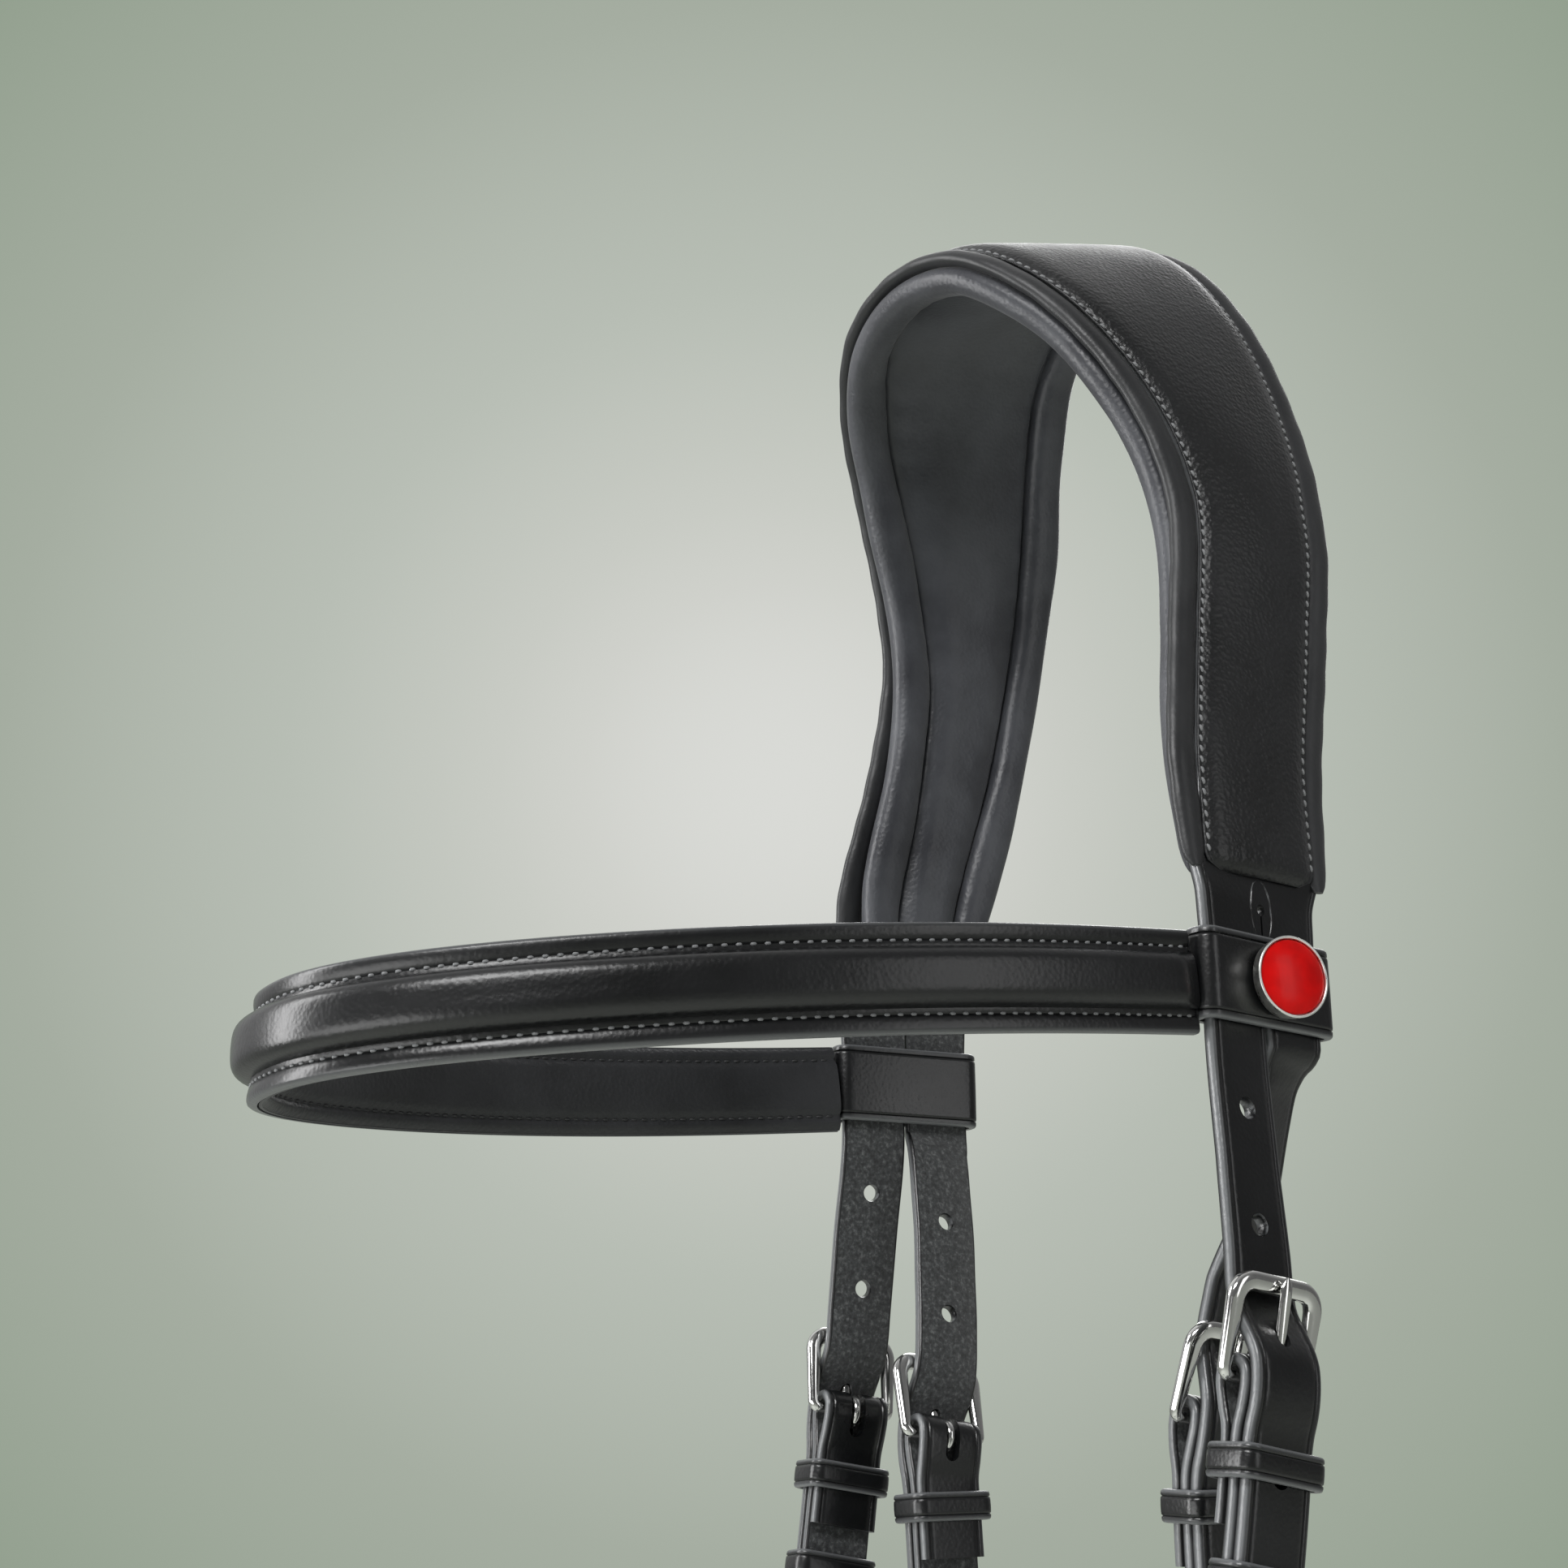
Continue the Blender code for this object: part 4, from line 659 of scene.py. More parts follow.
# Headpiece strap: it lies under the crown's panel and comes out below it as a flat neck on each side. A
# small punched hole ends the slit that divides it into the front and rear tails, inside a pressed oval.
neck_tilt = math.radians(8.2)
neck_width = 0.0327


def neck_frame(side, height):
    """Centre, across and outward of a leg's neck at a height above the browband's loop."""
    centre = np.array([side * 0.0646, 0.0025, loop_height + height])
    across = np.array([-side * math.sin(neck_tilt), math.cos(neck_tilt), 0])
    outward = np.array([side * math.cos(neck_tilt), math.sin(neck_tilt), 0])
    return centre, across, outward


def headpiece_rings():
    """Strap outline over the crown's line and down both necks, with every field a smooth curve."""
    width = 2 * panel_half - 0.0010 + 0.0062 * (1 - eased(np.clip(crown_end / 0.022, 0, 1)))
    over = np.hstack([panel_middle + crown_out * 0.0022, crown_across, crown_out, width[:, None]])[2:-2:4]
    flare = ((0.0168, 0.0008), (0.0125, 0.0003), (0.0092, 0), (0.0045, 0))
    right, left = [
        np.array([np.concatenate([*neck_frame(side, up), [neck_width + more]]) for up, more in flare])
        for side in (-1, 1)
    ]
    rows = np.vstack([right[::-1], over, left])
    reach = along_curve(rows[:, :3])
    neck = 0.03
    close = np.arange(0, neck, 0.0006)
    between = np.linspace(neck, reach[-1] - neck, 160)[1:-1]
    fine = hermite(rows, reach, np.concatenate([close, between, reach[-1] - close[::-1]]))
    a, b, wear_and_highlight, faces = strap_section(fine[:, 9], tail_thickness)
    return swept(fine[:, :3], unit(fine[:, 3:6]), unit(fine[:, 6:9]), a, b), wear_and_highlight, faces


def groove(centre, across, along, outward, wide, tall):
    """A pressed oval line on a strap's face, as the cutter that leaves it."""
    path = oval(centre, across, along, wide, tall, 48)
    away = unit(oval(0, across, along, 1 / wide, 1 / tall, 48))
    depth = 0.00028
    return cutter_rings([oval(*at, outward, depth, depth, 6) for at in zip(path, away)], closed=True)


def keyhole(spot, across, outward):
    """The small hole and the slit from it down past the neck's end, as one outline."""
    turn = np.radians(np.linspace(-78, 258, 22))
    outline = [(0.00022, -0.0140), *zip(0.0011 * np.cos(turn), 0.0011 * np.sin(turn)), (-0.00022, -0.0140)]
    flat = np.array([across * a + np.array([0, 0, 1.0]) * b for a, b in outline])
    return cutter_rings([spot + outward * depth + flat for depth in (-0.005, 0.005)])


neck_rings, neck_wear_and_highlight, neck_faces = headpiece_rings()
headpiece = skin(
    "headpiece_strap_leather", neck_rings, [bridle_leather, raw_leather], "headpiece",
    neck_wear_and_highlight, faces_of=neck_faces,
)
upright = np.array([0, 0, 1.0])
openings, pressed = [], []
for side in (1, -1):
    spot, across, outward = neck_frame(side, 0.0150)
    openings.append(keyhole(spot, across, outward))
    middle = spot + outward * 0.00138 - upright * 0.0002
    pressed.append(groove(middle, across, upright, outward, 0.0030, 0.0064))
punched(headpiece, openings, "MANIFOLD")
punched(headpiece, pressed)
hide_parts("headpiece_strap")


# Fastenings: every buckle hangs in a strap end folded round its heel bar. The other strap comes up through
# it, over the fold, and its tail lies under a fixed keeper and a loose runner.
wire = 0.0013
tongue_wire = 0.0011
buckle_reach = 0.0172
buckle_tilt = math.radians(11.5)
fold_level, ply_level, over_fold, over_ply = 0.0030, 0.00135, 0.0058, 0.00415
fold_back, fold_end = 0.026, 0.0116
tip_bar = -buckle_reach * math.cos(buckle_tilt)
tongue_swing = 0.0029
hole_pitch = 0.0225


def tail_path(lead_in):
    """Holed strap from the heel bar: in along the line, up through the buckle, over the fold, to its point.

    The point narrows as (1 - s^1.8)^0.75 over its last centimetre.
    """
    start, end, crest, fall = tip_bar + wire, -wire, 0.0026, 0.009
    places = [(length, 0) for length in lead_in]
    places += [(start + (end - start) * share, over_fold * eased(share)) for share in np.linspace(0, 1, 9)]
    for share in (0, 0.33, 0.67, 1.0):
        places.append((crest + fall * share, over_fold + (over_ply - over_fold) * eased(share)))
    path = [(*place, strap_width) for place in places]
    path += [(length, over_ply, strap_width) for length in (0.017, 0.024, 0.031, 0.038)]
    for share in 1 - (1 - np.linspace(0, 0.995, 12)) ** 1.5:
        width = max(strap_width * (1 - share**1.8) ** 0.75, 0.0008)
        path.append((0.044 + 0.010 * share, over_ply, width))
    return path


def fold_path(bar_at, turn, level=fold_level, back=fold_back, throat=0.0090, drop=0.0, width=strap_width):
    """Strap end folded round a bar: in along the front, a half circle, and back on the inside."""
    waist = (bar_at + turn * throat * 0.5, (ply_level + level) / 2 + 0.0003)
    path = [(bar_at + turn * throat, ply_level), waist]
    for swing in np.linspace(0, math.pi, 9):
        path.append((bar_at - turn * (level + drop) * math.sin(swing), level * math.cos(swing)))
    path.append((waist[0], -waist[1]))
    path += [(bar_at + turn * length, -ply_level) for length in np.linspace(throat, back, 4)]
    return [(*place, width) for place in path]


def flat_run(start, end, count):
    """The straight part of a strap between its folds."""
    return [(length, ply_level, strap_width) for length in np.linspace(start, end, count)]


def place_on(line, length, turn, tilt=0.0):
    """Origin and axes on a line: across it, towards its lead-in and outward."""
    centre, along, across, outward = [way[0] for way in line.at(length)]
    back = -along * turn
    lead = back * math.cos(tilt) + outward * math.sin(tilt)
    up = outward * math.cos(tilt) - back * math.sin(tilt)
    return np.array([centre, np.cross(back, outward), lead, up])


def spots(place, points):
    """World points from points given on a place's axes."""
    return place[0] + np.asarray(points) @ place[1:]


def frame_rings(rows):
    """A buckle's frame as a rounded rectangle: stout and flat at the tip, round and slimmer at the heel."""
    half, tight, wide = 0.0098, 0.0016, 0.0038
    path, away = [], []
    for a, b, radius, first in (
        (half - tight, tight, tight, -90), (half - wide, buckle_reach - wide, wide, 0),
        (-half + wide, buckle_reach - wide, wide, 90), (-half + tight, tight, tight, 180),
    ):
        for angle in np.radians(first + np.linspace(0, 90, 11)):
            facing = np.array([math.cos(angle), math.sin(angle)])
            path.append(np.array([a, b]) + facing * radius)
            away.append(facing)
    path, away = np.array(path), np.array(away)
    share = eased(np.clip(path[:, 1] / buckle_reach, 0, 1))[:, None]
    a, b = squared(circle(20), 2 / (2 + 0.5 * share))
    a, b = a * wire * (1 + 0.45 * share), b * wire * (1 + 0.06 * share)
    flat = path[:, None] + away[:, None] * a[..., None]
    return spots(rows, np.concatenate([flat, b[..., None]], axis=2))


def tongue_line():
    """The tongue's middle line: 235 degrees round the heel bar, then straight to rest on the tip bar."""
    tip_level = buckle_reach * math.sin(buckle_tilt) + wire + 0.0003 + tongue_wire
    tip = np.array([-tip_bar + wire, tip_level])
    slope = math.atan2(tip_level - tongue_swing, tip[0])
    turn = math.pi / 2 + slope + math.radians(235) * (1 - np.linspace(0, 1, 24))
    curl = np.stack([np.cos(turn), np.sin(turn)], axis=1) * tongue_swing
    run = curl[-1] + (tip - curl[-1]) * np.linspace(0, 1, 16)[1:, None]
    return np.vstack([curl, run])


def tongue_rings(place):
    """Round wire that flattens towards a rounded tip: its girth falls as the root of 1 - s^26."""
    line = tongue_line()
    points = np.hstack([np.zeros((len(line), 1)), line])
    along = unit(np.gradient(points, axis=0))
    across = np.broadcast_to(np.array([1.0, 0, 0]), along.shape)
    reach = along_curve(points) / along_curve(points)[-1]
    girth = tongue_wire * np.sqrt(np.maximum(1 - reach**26, 0.06))[:, None]
    flat = eased(np.clip((reach - 0.45) / 0.5, 0, 1))[:, None]
    turn = circle(18)
    a, b = girth * (1 + 0.28 * flat) * np.cos(turn), girth * (1 - 0.2 * flat) * np.sin(turn)
    return spots(place, swept(points, across, np.cross(across, along), a, b))


def tongue_way(place):
    """The slanted hole that the tongue comes up through, with room for it to lift."""
    line = tongue_line()
    turn = circle(20)
    rings = []
    for reach, level in (line[26], line[-1]):
        lift = np.where(np.sin(turn) > 0, reach * math.radians(5), 0)
        high = level + 0.0016 * np.sin(turn) + lift
        rings.append(spots(place, np.stack([0.0016 * np.cos(turn), 0 * turn + reach, high], axis=1)))
    return cutter_rings(rings)


def tongue_slot(place):
    """The slot in a fold for the tongue, with round ends."""
    turn = circle(20)
    half, reach = 0.0018, 0.0057
    long = (reach - half) * np.sign(np.sin(turn)) + half * np.sin(turn) - 0.0002
    flat = np.stack([half * np.cos(turn), long, np.ones(20)], axis=1)
    return cutter_rings([spots(place, flat * (1, 1, level)) for level in (-0.0054, 0.0054)])


def leather_loop(name, place, length, depth, height, ply, crease, body):
    """A flat leather loop with round corners about the place's second axis, crease lines near its edges.

    Its hollow is length across and depth outward. Its outer face swells a little between the creases.
    """
    corner = 0.0012 + ply / 2
    run, rise = (length + ply) / 2 - corner, (depth + ply) / 2 - corner
    path, away = [], []
    for a, b, first in ((1, -1, -90), (1, 1, 0), (-1, 1, 90), (-1, -1, 180)):
        for angle in np.radians(first + np.linspace(0, 90, 8)):
            away.append((math.cos(angle), math.sin(angle)))
            path.append((a * run + corner * away[-1][0], b * rise + corner * away[-1][1]))
        if a == b:
            path += [(a * run * share, b * (rise + corner)) for share in np.linspace(1, -1, 22)[1:-1]]
            away += [(0, b)] * 20
    path, away = np.array(path), np.array(away)
    inset = np.array([0, 0.00012, 0.00035, 0.0007, *(crease + np.array([-0.25, 0, 0.25, 0.7]) * 1e-3)])
    level = np.array([0.0, 0.6, 0.88, 1.0, 1.02, 0.70, 1.04, 1.10])
    half, inner = height / 2, height / 2 - 0.0001
    up = np.concatenate([inset - half, [0], (half - inset)[::-1], [inner, 0, -inner]])
    out = np.concatenate([level, [1.14], level[::-1], [-0.8, -1, -0.8]]) * ply / 2
    flat = path[:, None] + away[:, None] * out[None, :, None]
    up = np.broadcast_to(up[None, :, None], flat[..., :1].shape)
    points = np.concatenate([flat[..., :1], up, flat[..., 1:]], axis=2)
    # Pale edge colour at the loop's edges and crease lines: part rubbed wear, part painted highlight.
    worn_and_lit_edge = np.exp(-((np.concatenate([inset, [1], inset[::-1], [0.0003, 1, 0.0003]]) / 0.0006) ** 2))
    return skin(name, spots(place, points), [bridle_leather], body, worn_and_lit_edge, closed=True)


def fasten(name, line, heel, turn, body):
    """Buckle, tongue, keeper and runner at a heel bar on a line."""
    stem, side = name
    inside, tall, ply, crease = 0.0171, 0.0062, 0.0016, 0.0013
    rings = frame_rings(place_on(line, heel, turn, buckle_tilt))
    buckle = skin(stem + "_buckle_frame" + side, rings, [steel], body, closed=True)
    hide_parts(stem + "_buckle" + side)
    rings, hinged = tongue_rings(place_on(line, heel, turn)), stem + "_tongue" + side
    tongue = skin(stem + "_buckle_tongue" + side, rings, [steel], hinged)
    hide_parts(stem + "_tongue" + side)
    for kind, along, low in (("keeper", 0.01512, -0.00255), ("runner", 0.0351, 0.00015)):
        place = place_on(line, heel + turn * along, turn)
        depth = over_ply + 0.0013 - low + 0.001
        place[0] = place[0] + place[3] * (low - 0.0005 + depth / 2)
        rides = body if kind == "keeper" else stem + "_runner" + side
        made = stem + "_" + kind + "_leather" + side
        loop = leather_loop(made, place, inside, depth, tall, ply, crease, rides)
        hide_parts(stem + "_" + kind + side)


def holes_at(line, heel, turn, before, after):
    """Punched holes each way from the tongue's own hole, and that hole, 5.8 mm from the heel bar."""
    shapes = [tongue_way(place_on(line, heel, turn))]
    for step in [*range(-before, 0), *range(1, after + 1)]:
        length = -0.0058 + hole_pitch * step
        shapes.append(hole(line, heel + turn * length, 0 if length < 0 else over_ply))
    return shapes


# Cheekpieces: the front tails of the headpiece, buckled to the straps that hang down to the rein rings. Each
# strap folds round its ring, which is bent from round steel wire, and is sewn shut behind it.
neck_foot = 0.0098
tail_top, tail_root = 0.0095, -0.0138
rein_ring_drop = -0.3400 + loop_height
ring_radius, ring_wire = 0.020, 0.0025


def tail_start(side, part):
    """Where a tail leaves the neck: part is -1 for the front tail and +1 for the rear one."""
    spot, across, _ = neck_frame(side, -neck_foot)
    return spot + across * part * 0.0083, across


def ring_centre(side):
    """Middle of a rein ring, or the middle between the two for side 0."""
    return np.array([side * 0.060, -0.048, rein_ring_drop])


def cheek_line(side):
    """From the front tail's root down past the buckle to the middle of the rein ring."""
    start, across = tail_start(side, -1)
    foot = start + np.array([0, 0, -0.002])
    tip = start + np.array([side * 0.0049, -0.0022, -0.050])
    ring = ring_centre(side)
    rise = np.array([0, ring[1] - tip[1], ring[2] - tip[2]])
    lower = [ring - rise * share for share in (0.32, 0.24, 0.16, 0.08, 0)]
    middle = (tip + lower[0]) / 2 + np.array([side * 0.0021, 0, 0])
    level = np.array([0, 1.0, 0])
    hints = [across] * 3 + [(across + level) / 2] * 2 + [level] * 5
    return Line([start, foot, (foot + tip) / 2, tip, middle, *lower], hints, flip=-side)


def joined_tail(name, line, bar, turn, heel):
    """A tail that starts inside the browband's loop and runs down its line, with its holes punched. It is on
    no body.
    """
    lead = np.linspace(tail_root - heel, tip_bar + wire, 9)[:-1]
    path = [(bar + turn * length, level, width) for length, level, width in tail_path(lead)]
    made = strap(name, line, path, tail_thickness, None)
    punched(made, holes_at(line, bar, turn, 2, 2))
    return made


def ring_fold(bar, turn, back):
    """Strap end folded round a ring, narrowed to lie inside it and hanging a little below the wire."""
    return fold_path(bar, turn, 0.0042, back, 0.0125, 0.0014, 0.0120)


cheek_heel = 0.0595 - tail_top - tip_bar
for side, word in ((1, "left"), (-1, "right")):
    line = cheek_line(side)
    tail = joined_tail("cheek_tail_leather_" + word, line, cheek_heel, 1, cheek_heel)
    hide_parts("cheek_tail_" + word)
    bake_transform(tail)
    ring_top = line.length - ring_radius
    upper = fold_path(cheek_heel, 1)[::-1]
    front = flat_run(cheek_heel + fold_end, ring_top - 0.0245, 24)[1:]
    path = upper + front + ring_fold(ring_top, -1, 0.030)
    cheek = strap("cheekpiece_leather_" + word, line, path, ply_thickness, "cheekpieces")
    punched(cheek, [tongue_slot(place_on(line, cheek_heel, 1))])
    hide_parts("cheekpiece_" + word)
    fasten(("cheek", "_" + word), line, cheek_heel, 1, "cheekpieces")
    around, turn = circle(72), circle(24)
    facing = np.stack([0 * around, np.cos(around), np.sin(around)], axis=1)
    sideways = np.broadcast_to([1.0, 0, 0], facing.shape)
    a, b = [np.broadcast_to(ring_wire * wave, (72, 24)) for wave in (np.cos(turn), np.sin(turn))]
    rings = swept(ring_centre(side) + facing * ring_radius, facing, sideways, a, b)
    ring = skin("rein_ring_wire_" + word, rings, [steel], "rein_ring_" + word, closed=True)
    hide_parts("rein_ring_" + word)


# Padded bands: the browband and the noseband have facing leather drawn tight over a cord between two rows of
# sewing, and a soft lining on the horse's side that is sewn through with it.
band_pitch = 0.0026


def band_curve(width, depth, squareness, bulge, slope, inset, run=0.0, stations=241):
    """Middle line of a band from the right end round the front to the left end, with its frame.

    Each half is a quarter of a superellipse that widens by bulge x sin(pi x share) and sinks with its reach.
    """
    forward, sideways = squared(np.linspace(-np.pi / 2, np.pi / 2, 721), 2 / squareness)
    sideways = sideways * (1 + bulge * np.sin(np.pi * forward))
    reach = forward * (depth - run) + run
    curve = np.stack([sideways * width / 2, -reach, -reach * slope], axis=1)
    if run:
        flat = np.array([1, 0, 0])
        curve = np.vstack([curve[0] * flat, curve, curve[-1] * flat])
    length = along_curve(curve)
    at = np.linspace(inset, length[-1] - inset, stations)
    centre = read_at(curve, length, at)
    along = unit(read_at(np.gradient(curve, length, axis=0), length, at))
    outward = unit(np.cross(np.array([0, 0, 1.0]), -along))
    return centre, along, np.cross(outward, -along), outward


def band_facing(name, frame, height, rise, seat, body):
    """Facing leather: rounded edges, a sewn channel each side, and a full round swell between them.

    The swell is rise x (1 - s^4)^0.6 at share s of its half width, and each stitch draws in its edge.
    Returns the piece, its sewing's place across and the sewing's level.
    """
    centre, along, across, outward = frame
    half, thick = height / 2, 0.0020
    foot = half * 0.55
    seam = foot + 0.0011
    flange = np.array([0, 0, 0.12, 0.4, 0.9, 1.5]) * 1e-3
    level = np.array([0, 0.35, 0.72, 0.93, 1.0, 1.0]) * thick
    width = half - seam
    more = np.array([0.55, 0.8, 0.93, 1.0, 1.07]) * width
    hollow = np.array([0.98, 0.90, 0.78, 0.70, 0.78]) * thick
    share = np.concatenate([np.linspace(1, 0.8, 7), np.linspace(0.75, 0, 9)])
    swell = rise * (1 - share**4) ** 0.6 + thick * (1 - 0.18 * share**8)
    edge_a = np.concatenate([half - flange, half - more, foot * share * 1.01])
    edge_b = np.concatenate([level, hollow, swell])
    reach = along_curve(centre)
    a = np.broadcast_to(edge_a, (len(reach), len(edge_a)))
    b = np.broadcast_to(edge_b, a.shape).copy()
    pull = np.exp(-(((edge_a - foot) / 0.0009) ** 2))
    b -= puckers(reach, band_pitch, 0.00010, 17)[:, None] * pull + 0.00006 * pull
    uneven = 0.00010 * np.sin(reach / 0.023) + 0.00005 * np.sin(reach / 0.0068)
    b += uneven[:, None] * np.clip(1 - edge_a / foot, 0, 1)
    ends = np.minimum(np.minimum(reach, reach[-1] - reach) / 0.006, 1)[:, None]
    b = np.where(b > thick, thick + (b - thick) * (0.35 + 0.65 * eased(ends)), b)
    rings = swept(centre, across, outward, *both_sides(a, b + seat))
    # Pale edge colour on the facing's flanges: part rubbed wear, part painted highlight.
    worn_and_lit_edge = np.exp(-((flange / 0.0006) ** 2)) * 0.7
    wear_and_highlight = np.concatenate([worn_and_lit_edge, np.zeros(len(edge_a) - len(flange))])
    wear_and_highlight = np.concatenate([wear_and_highlight, wear_and_highlight[-2::-1]])
    return skin(name, rings, [bridle_leather], body, wear_and_highlight), seam, seat + thick * 0.74


def band_lining(name, frame, height, thick, seat, body, seam):
    """Soft lining, full between its sewing: thick x (1 - s^2.6)^0.5 at share s from the middle to each edge.

    Returns the piece and the sewing's level.
    """
    centre, along, across, outward = frame
    half = height / 2 - 0.0002
    share = np.array([1, 1, 0.995, 0.97, 0.93, 0.88, 0.82, 0.76, 0.70, 0.64, 0.56, 0.45, 0.3, 0.15, 0])
    depth = thick * (1 - share**2.6) ** 0.5
    depth[1] = thick * 0.22
    depth = np.maximum(depth, np.where(np.arange(len(share)) > 0, thick * 0.22, 0))
    depth -= thick * 0.30 * np.exp(-(((share * half - seam) / 0.0008) ** 2))
    reach = along_curve(centre)
    a = np.broadcast_to(half * share, (len(reach), len(share)))
    pull = np.exp(-(((share * half - seam) / 0.0016) ** 2))
    uneven = 0.00012 * np.sin(reach / 0.013)[:, None]
    b = -depth + puckers(reach, band_pitch * 2, 0.00014, 23)[:, None] * pull + uneven * (1 - share)
    rings = swept(centre, across, outward, *both_sides(a, b + seat))
    level = seat - thick * (1 - (seam / half) ** 2.6) ** 0.5 + thick * 0.26
    return skin(name, rings, [backing_leather], body), level


def sew_band(body, frame, seam, face_level, back_level):
    """Both rows of sewing on the facing and on the lining."""
    reach = along_curve(frame[0])
    keep = (reach > 0.0015) & (reach < reach[-1] - 0.0015)
    centre, along, across, outward = [field[keep] for field in frame]
    for side, word in ((-1, "low"), (1, "high")):
        for row, level, up, share, radius, thread in (
            ("_sewing_", face_level, outward, 0.5, 0.00034, band_thread),
            ("_lining_sewing_", back_level, -outward, 0.72, 0.0003, dark_thread),
        ):
            line = centre + across * side * seam + outward * level
            stitches(body + row + word, line, along, up, band_pitch, body, share, radius, thread)


# Browband: it lies round the forehead, 16 inches long, between the two loops that hold the necks. Its facing
# is drawn over a round filler, and its rows of pale sewing follow the filler's foot.
band_thread = thread_material("browband_thread", "#707376")
brow_height = 0.0204
centre, along, across, outward = band_curve(0.129, 0.179, 2.29, 0.10, 0.0995, 0.01955)
brow = (centre + np.array([0, 0.0025, loop_height]), along, across, outward)
brow_facing, brow_seam, brow_face = band_facing(
    "browband_facing_leather", brow, brow_height, 0.0034, -0.0010, "browband"
)
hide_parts("browband_facing", "browband_core")
brow_lining, brow_back = band_lining(
    "browband_lining_pad", brow, brow_height, 0.0028, -0.0013, "browband", brow_seam
)
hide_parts("browband_lining")
sew_band("browband", brow, brow_seam, brow_face, brow_back)


def boss_rings(place, profile):
    """A profile of (radius, height) points turned about a place's outward axis, on a foot cut as a wedge.

    The foot stays on the place's plane. From 2 mm up the boss leans about its second axis by 14 degrees and
    is lifted by reach x sin(lean), so that its lower edge keeps its height.
    """
    lean, reach = math.radians(14), 0.0080
    turn = circle(72)
    profile = np.asarray(profile, float)
    flat = profile[:, 0][:, None, None] * np.stack([np.cos(turn), np.sin(turn)], axis=1)
    high = np.broadcast_to(profile[:, 1][:, None, None], flat[..., :1].shape)
    upright = np.concatenate([flat, high], axis=2)
    wide, tall, low = flat[..., 0], flat[..., 1], high[..., 0]
    tipped = np.stack([
        wide * math.cos(lean) - low * math.sin(lean), tall,
        wide * math.sin(lean) + low * math.cos(lean) + reach * math.sin(lean),
    ], axis=2)
    share = eased(np.clip(high / 0.0020, 0, 1))
    return spots(place, upright + (tipped - upright) * share)


# Loops and medallions: each end of the browband is a flat loop round the neck, with a round boss on its
# face. The boss is a steel cup with a rolled rim, and a low dome of enamel fills it.
bend = np.linspace(np.pi / 2, -np.pi / 2, 17)
rim = [(0.00785 + 0.0003 * math.sin(t), 0.0031 + 0.0003 * math.cos(t)) for t in bend]
wall = [(0.0020, 0), (0.0062, 0), (0.0070, 0.0002), (0.0076, 0.0007), (0.0079, 0.0013), (0.00805, 0.0020)]
cup_profile = wall + rim + [(0.0074, 0.0024), (0.0020, 0.0024)]
dome = [(0.0073 * s, 0.0030 + 0.0013 * (1 - s**2.2)) for s in np.linspace(1, 0, 24)[:-1]]
dome_profile = [(0.0020, 0.0025), (0.0073, 0.0025), (0.0074, 0.0027), (0.0074, 0.0029), *dome]
for side, word in ((1, "left"), (-1, "right")):
    spot, sideways, out = neck_frame(side, 0)
    place = np.array([spot, sideways, np.cross(out, sideways), out])
    name = "browband_loop_leather_" + word
    loop = leather_loop(name, place, 0.0337, 0.0036, 0.0182, 0.0019, 0.0016, "browband")
    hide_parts("browband_loop_" + word)
    place[0] = spot + out * 0.0040
    rings = boss_rings(place, cup_profile)
    cup = skin("medallion_cup_" + word, rings, [cup_steel], "browband")
    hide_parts("medallion_" + word)
    rings = boss_rings(place, dome_profile)
    boss = skin("medallion_enamel_face_" + word, rings, [red_enamel], "browband")
    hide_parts("medallion_enamel_" + word)


# Throatlash: the rear tails of the headpiece, and one strap buckled to both that hangs under the throat. The
# tails turn inwards as they come down and lie close behind the cheekpieces.
def throat_line():
    """From the left tail's root down and in, across under the throat and up to the right tail's root."""
    start, across = tail_start(1, 1)
    foot = start + np.array([0, 0, -0.002])
    reach = 0.280 - loop_height + foot[2]
    half = [start, foot]
    for drawn, lean, low in (
        (0.12, 0.10, 0.011), (0.22, 0.16, 0.026), (0.34, 0.24, 0.052), (0.50, 0.34, 0.092),
        (0.62, 0.46, 0.127), (0.78, 0.62, 0.168), (0.92, 0.84, 0.216), (1.00, 0.98, 0.240),
        (1.10, 1.11, 0.280), (1.16, 1.10, 0.340), (1.20, 0.95, 0.450), (1.28, 0.65, 0.560),
        (1.52, 0.25, 0.720),
    ):
        half.append(foot + np.array([-0.0158 * drawn, -0.0102 * lean, -reach * low]))
    half.append(np.array([start[0] * 0.52, foot[1] + 0.006, foot[2] - reach * 0.9]))
    half.append(np.array([start[0] * 0.27, foot[1] + 0.0108, foot[2] - reach * 0.98]))
    bottom = np.array([0, foot[1] + 0.012, foot[2] - reach])
    mirror = np.array([-1, 1, 1])
    points = half + [bottom] + [point * mirror for point in half[::-1]]
    turned = np.array([-0.42, 0.90, 0])
    hints = [across] * 2 + [(across + turned) / 2] + [turned] * 4
    hints += [np.array([0, 1.0, 0])] * (len(points) - 9) + [across * mirror] * 2
    return Line(points, hints, flip=-1)


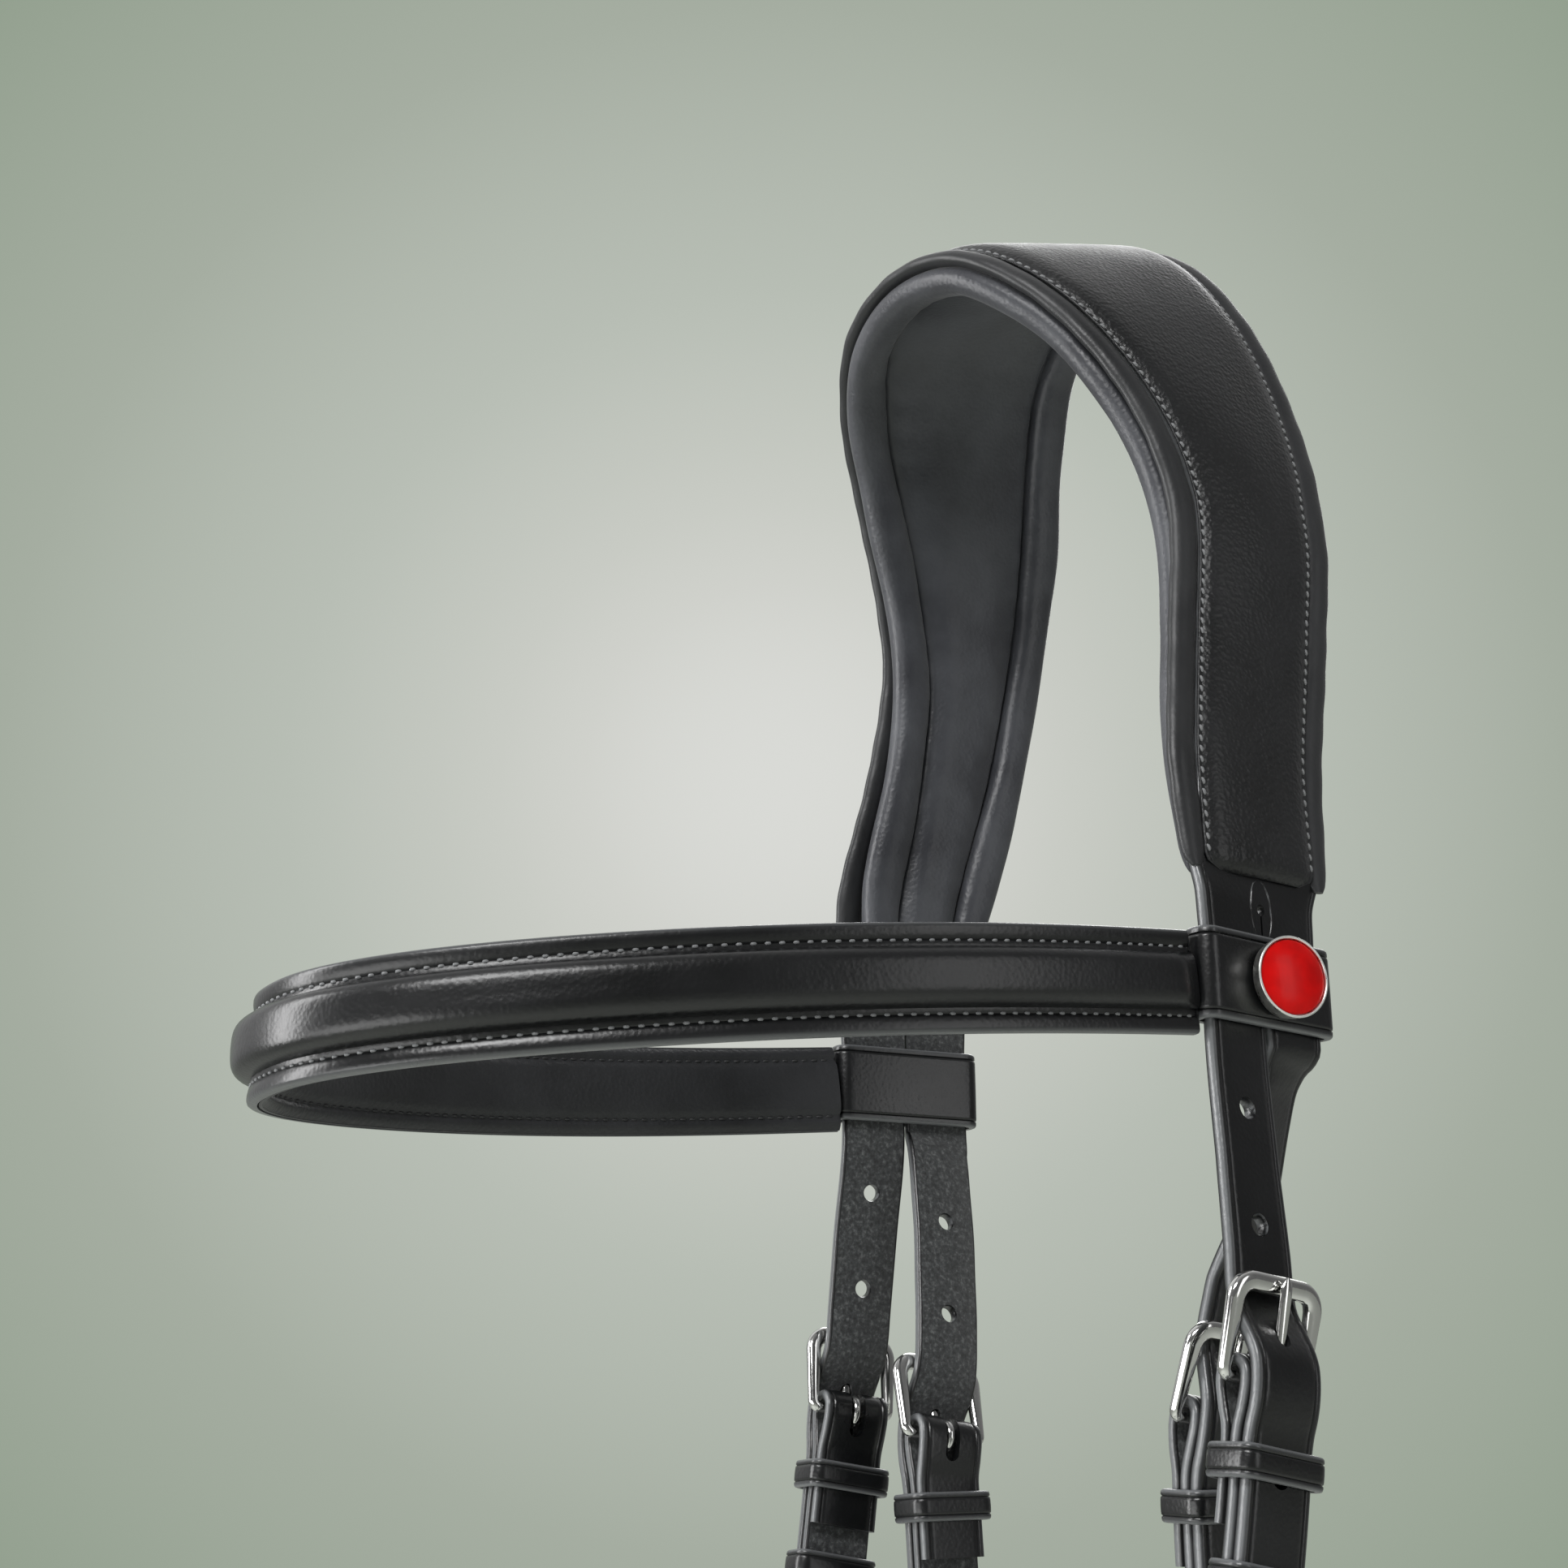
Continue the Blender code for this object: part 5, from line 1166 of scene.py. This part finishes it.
throat = throat_line()
throat_heel = 0.0685 - tail_top - tip_bar
far_heel = throat.length - throat_heel
for side, word, bar in ((1, "left", throat_heel), (-1, "right", far_heel)):
    tail = joined_tail("throatlash_tail_leather_" + word, throat, bar, side, throat_heel)
    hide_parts("throatlash_tail_" + word)
    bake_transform(tail)
    fasten(("throatlash", "_" + word), throat, bar, side, "throatlash")
middle = flat_run(throat_heel + fold_end, far_heel - fold_end, 60)[1:-1]
path = fold_path(throat_heel, 1)[::-1] + middle + fold_path(far_heel, -1)
hanging = strap("throatlash_strap_leather", throat, path, ply_thickness, "throatlash")
heels = ((throat_heel, 1), (far_heel, -1))
punched(hanging, [tongue_slot(place_on(throat, bar, turn)) for bar, turn in heels])
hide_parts("throatlash_strap")


# Noseband: made like the browband but deeper, on a strap whose ends fold round the rein rings. It lies over
# the nose and takes the pull of the reins in place of a bit.
nose_height = 0.0260
nose_curve = band_curve(0.120, 0.118, 2.2, 0.03, 0.06, 0, 0.030, 31)[0]
nose = Line(nose_curve[::-1] + ring_centre(0), (0, 0, 1), flip=1)
first, last = ring_fold(ring_radius, 1, 0.024)[::-1], ring_fold(nose.length - ring_radius, -1, 0.024)
path = first + flat_run(0.0385, nose.length - 0.0385, 60) + last
carrier = strap("noseband_strap_leather", nose, path, ply_thickness, "noseband")
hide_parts("noseband_strap")
nose_frame = nose.at(np.linspace(0.054, nose.length - 0.054, 201))
nose_facing, nose_seam, nose_face = band_facing(
    "noseband_facing_leather", nose_frame, nose_height, 0.0040, 0.00285, "noseband"
)
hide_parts("noseband_facing", "noseband_core")
nose_lining, nose_back = band_lining(
    "noseband_lining_pad", nose_frame, nose_height, 0.0038, -0.00015, "noseband", nose_seam
)
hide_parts("noseband_lining")
sew_band("noseband", nose_frame, nose_seam, nose_face, nose_back)


# Chin strap: a short holed strap on the left ring, buckled to the one that comes round the jaw from the
# right. It droops a little and closes the noseband under the jaw.
def chin_line():
    """From the left ring round behind the jaw to the right ring, drooping by 22 degrees."""
    curve = band_curve(0.120, 0.100, 2.0, 0, 0, 0, 0.032, 31)[0][::-1]
    droop = math.radians(22)
    back = np.array([0, math.cos(droop), -math.sin(droop)])
    points = [ring_centre(0) + np.array([x, 0, 0]) - back * y for x, y, _ in curve]
    return Line(points, np.array([0, math.sin(droop), math.cos(droop)]), flip=-1)


chin = chin_line()
chin_heel = 0.048 - tip_bar
path = ring_fold(ring_radius, 1, fold_back)[:0:-1]
path += [(length + chin_heel, level, width) for length, level, width in tail_path([])]
chin_tail = strap("chin_strap_tail_leather", chin, path, tail_thickness, "chin_strap")
punched(chin_tail, holes_at(chin, chin_heel, 1, 0, 2))
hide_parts("chin_strap_tail")
path = fold_path(chin_heel, 1)[::-1] + flat_run(chin_heel + fold_end, chin.length - 0.0445, 40)[1:]
path += ring_fold(chin.length - ring_radius, -1, 0.030)
under_jaw = strap("chin_strap_leather", chin, path, ply_thickness, "chin_strap")
punched(under_jaw, [tongue_slot(place_on(chin, chin_heel, 1))])
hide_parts("chin_strap")
fasten(("chin_strap", ""), chin, chin_heel, 1, "chin_strap")


# Studio: a pale matt floor under the bridle, soft lights round it and a backdrop that darkens towards its
# edges. Shiny surfaces mirror the backdrop ahead of the camera and a dome of soft light everywhere else.
floor_mesh = bpy.data.meshes.new("studio_floor")
corners = ((-1, -1), (1, -1), (1, 1), (-1, 1))
floor_mesh.from_pydata([(18 * x, 18 * y, -1.15) for x, y in corners], [], [(0, 1, 2, 3)])
floor_paint, floor_tree, _ = new_material("floor_paint")
seen = add(floor_tree, "LightPath").outputs["Is Camera Ray"]
seen = add(floor_tree, "Math", {0: seen}, operation="MULTIPLY")
seen.inputs[1].default_value = 0.25
shades = {"Base_Color": linear("#d2d6ce"), "Emission_Color": linear("#a9b2a5")}
finish_material(floor_tree, {"Emission Strength": seen.outputs[0]}, Roughness=0.9, **shades)
floor_mesh.materials.append(floor_paint)
studio_floor = bpy.data.objects.new("studio_floor", floor_mesh)
bpy.context.scene.collection.objects.link(studio_floor)

world = bpy.data.worlds.new("studio")
bpy.context.scene.world = world
world.use_nodes = True
sky = world.node_tree
sky.nodes.clear()
gaze = {0: add(sky, "TexCoord").outputs["Generated"]}
facing, upward = [add(sky, "VectorMath", gaze, operation="DOT_PRODUCT") for _ in range(2)]
facing.inputs[1].default_value = towards.normalized()
upward.inputs[1].default_value = Vector((-0.60, 0.10, 0.75)).normalized()
backdrop = add(sky, "ValToRGB", {"Fac": facing.outputs["Value"]}, [
    (0.895, linear("#93a08f")), (0.945, linear("#a5ada1")), (0.978, linear("#b8beb5")),
    (0.991, linear("#c6c9c2")), (0.9975, linear("#d2d3ce")), (1.0, linear("#d9dad6")),
]).outputs["Color"]
dome = add(sky, "ValToRGB", {"Fac": upward.outputs["Value"]}, [
    (0, grey(0.125)), (0.35, grey(0.22)), (0.70, grey(0.45)), (0.95, grey(0.80)),
]).outputs["Color"]
glow = add(sky, "Background", {"Color": dome}, Strength=1.0)
near = add(sky, "MapRange", {"Value": facing.outputs["Value"]})
near.inputs["From Min"].default_value, near.inputs["From Max"].default_value = 0.80, 0.89
behind = add(sky, "Mix", {0: near.outputs[0], 6: dome, 7: backdrop}, data_type="RGBA")
mirror = add(sky, "Background", {"Color": behind.outputs[2]}, Strength=1.0)
shown = add(sky, "Background", {"Color": backdrop}, Strength=1.0)
ray = add(sky, "LightPath")
mirrored = {0: ray.outputs["Is Glossy Ray"], 1: ray.outputs["Is Transmission Ray"]}
glossy = add(sky, "Math", mirrored, operation="MAXIMUM")
lit = add(sky, "MixShader", {0: glossy.outputs[0], 1: glow.outputs[0], 2: mirror.outputs[0]})
mixed = add(sky, "MixShader", {0: ray.outputs["Is Camera Ray"], 1: lit.outputs[0], 2: shown.outputs[0]})
add(sky, "OutputWorld", {"Surface": mixed.outputs[0]})


def soft_light(name, place, aim, size, power):
    """A white area lamp of this size in metres and power in watts, turned to its aim."""
    lamp = bpy.data.lights.new(name, "AREA")
    lamp.shape = "RECTANGLE"
    lamp.size, lamp.size_y = size
    lamp.energy = power
    made = bpy.data.objects.new(name, lamp)
    made.location = place
    made.rotation_mode = "QUATERNION"
    made.rotation_quaternion = (Vector(aim) - Vector(place)).to_track_quat("-Z", "Y")
    bpy.context.scene.collection.objects.link(made)


soft_light("key", (0.9, -1.1, 0.9), (0, 0, -0.1), (0.7, 0.5), 18)
soft_light("side", (1.5, 0.5, 0.1), (0, 0, -0.15), (0.5, 1.2), 3)
soft_light("rim", (-0.9, 0.9, 0.8), (0, 0, -0.1), (0.9, 0.9), 10)
soft_light("strip", (-0.55, -1.15, 0.10), (0, 0, -0.10), (0.35, 1.3), 13)
soft_light("low_fill", (0.3, -1.3, -0.5), (0, 0, -0.2), (1.0, 0.6), 5.5)
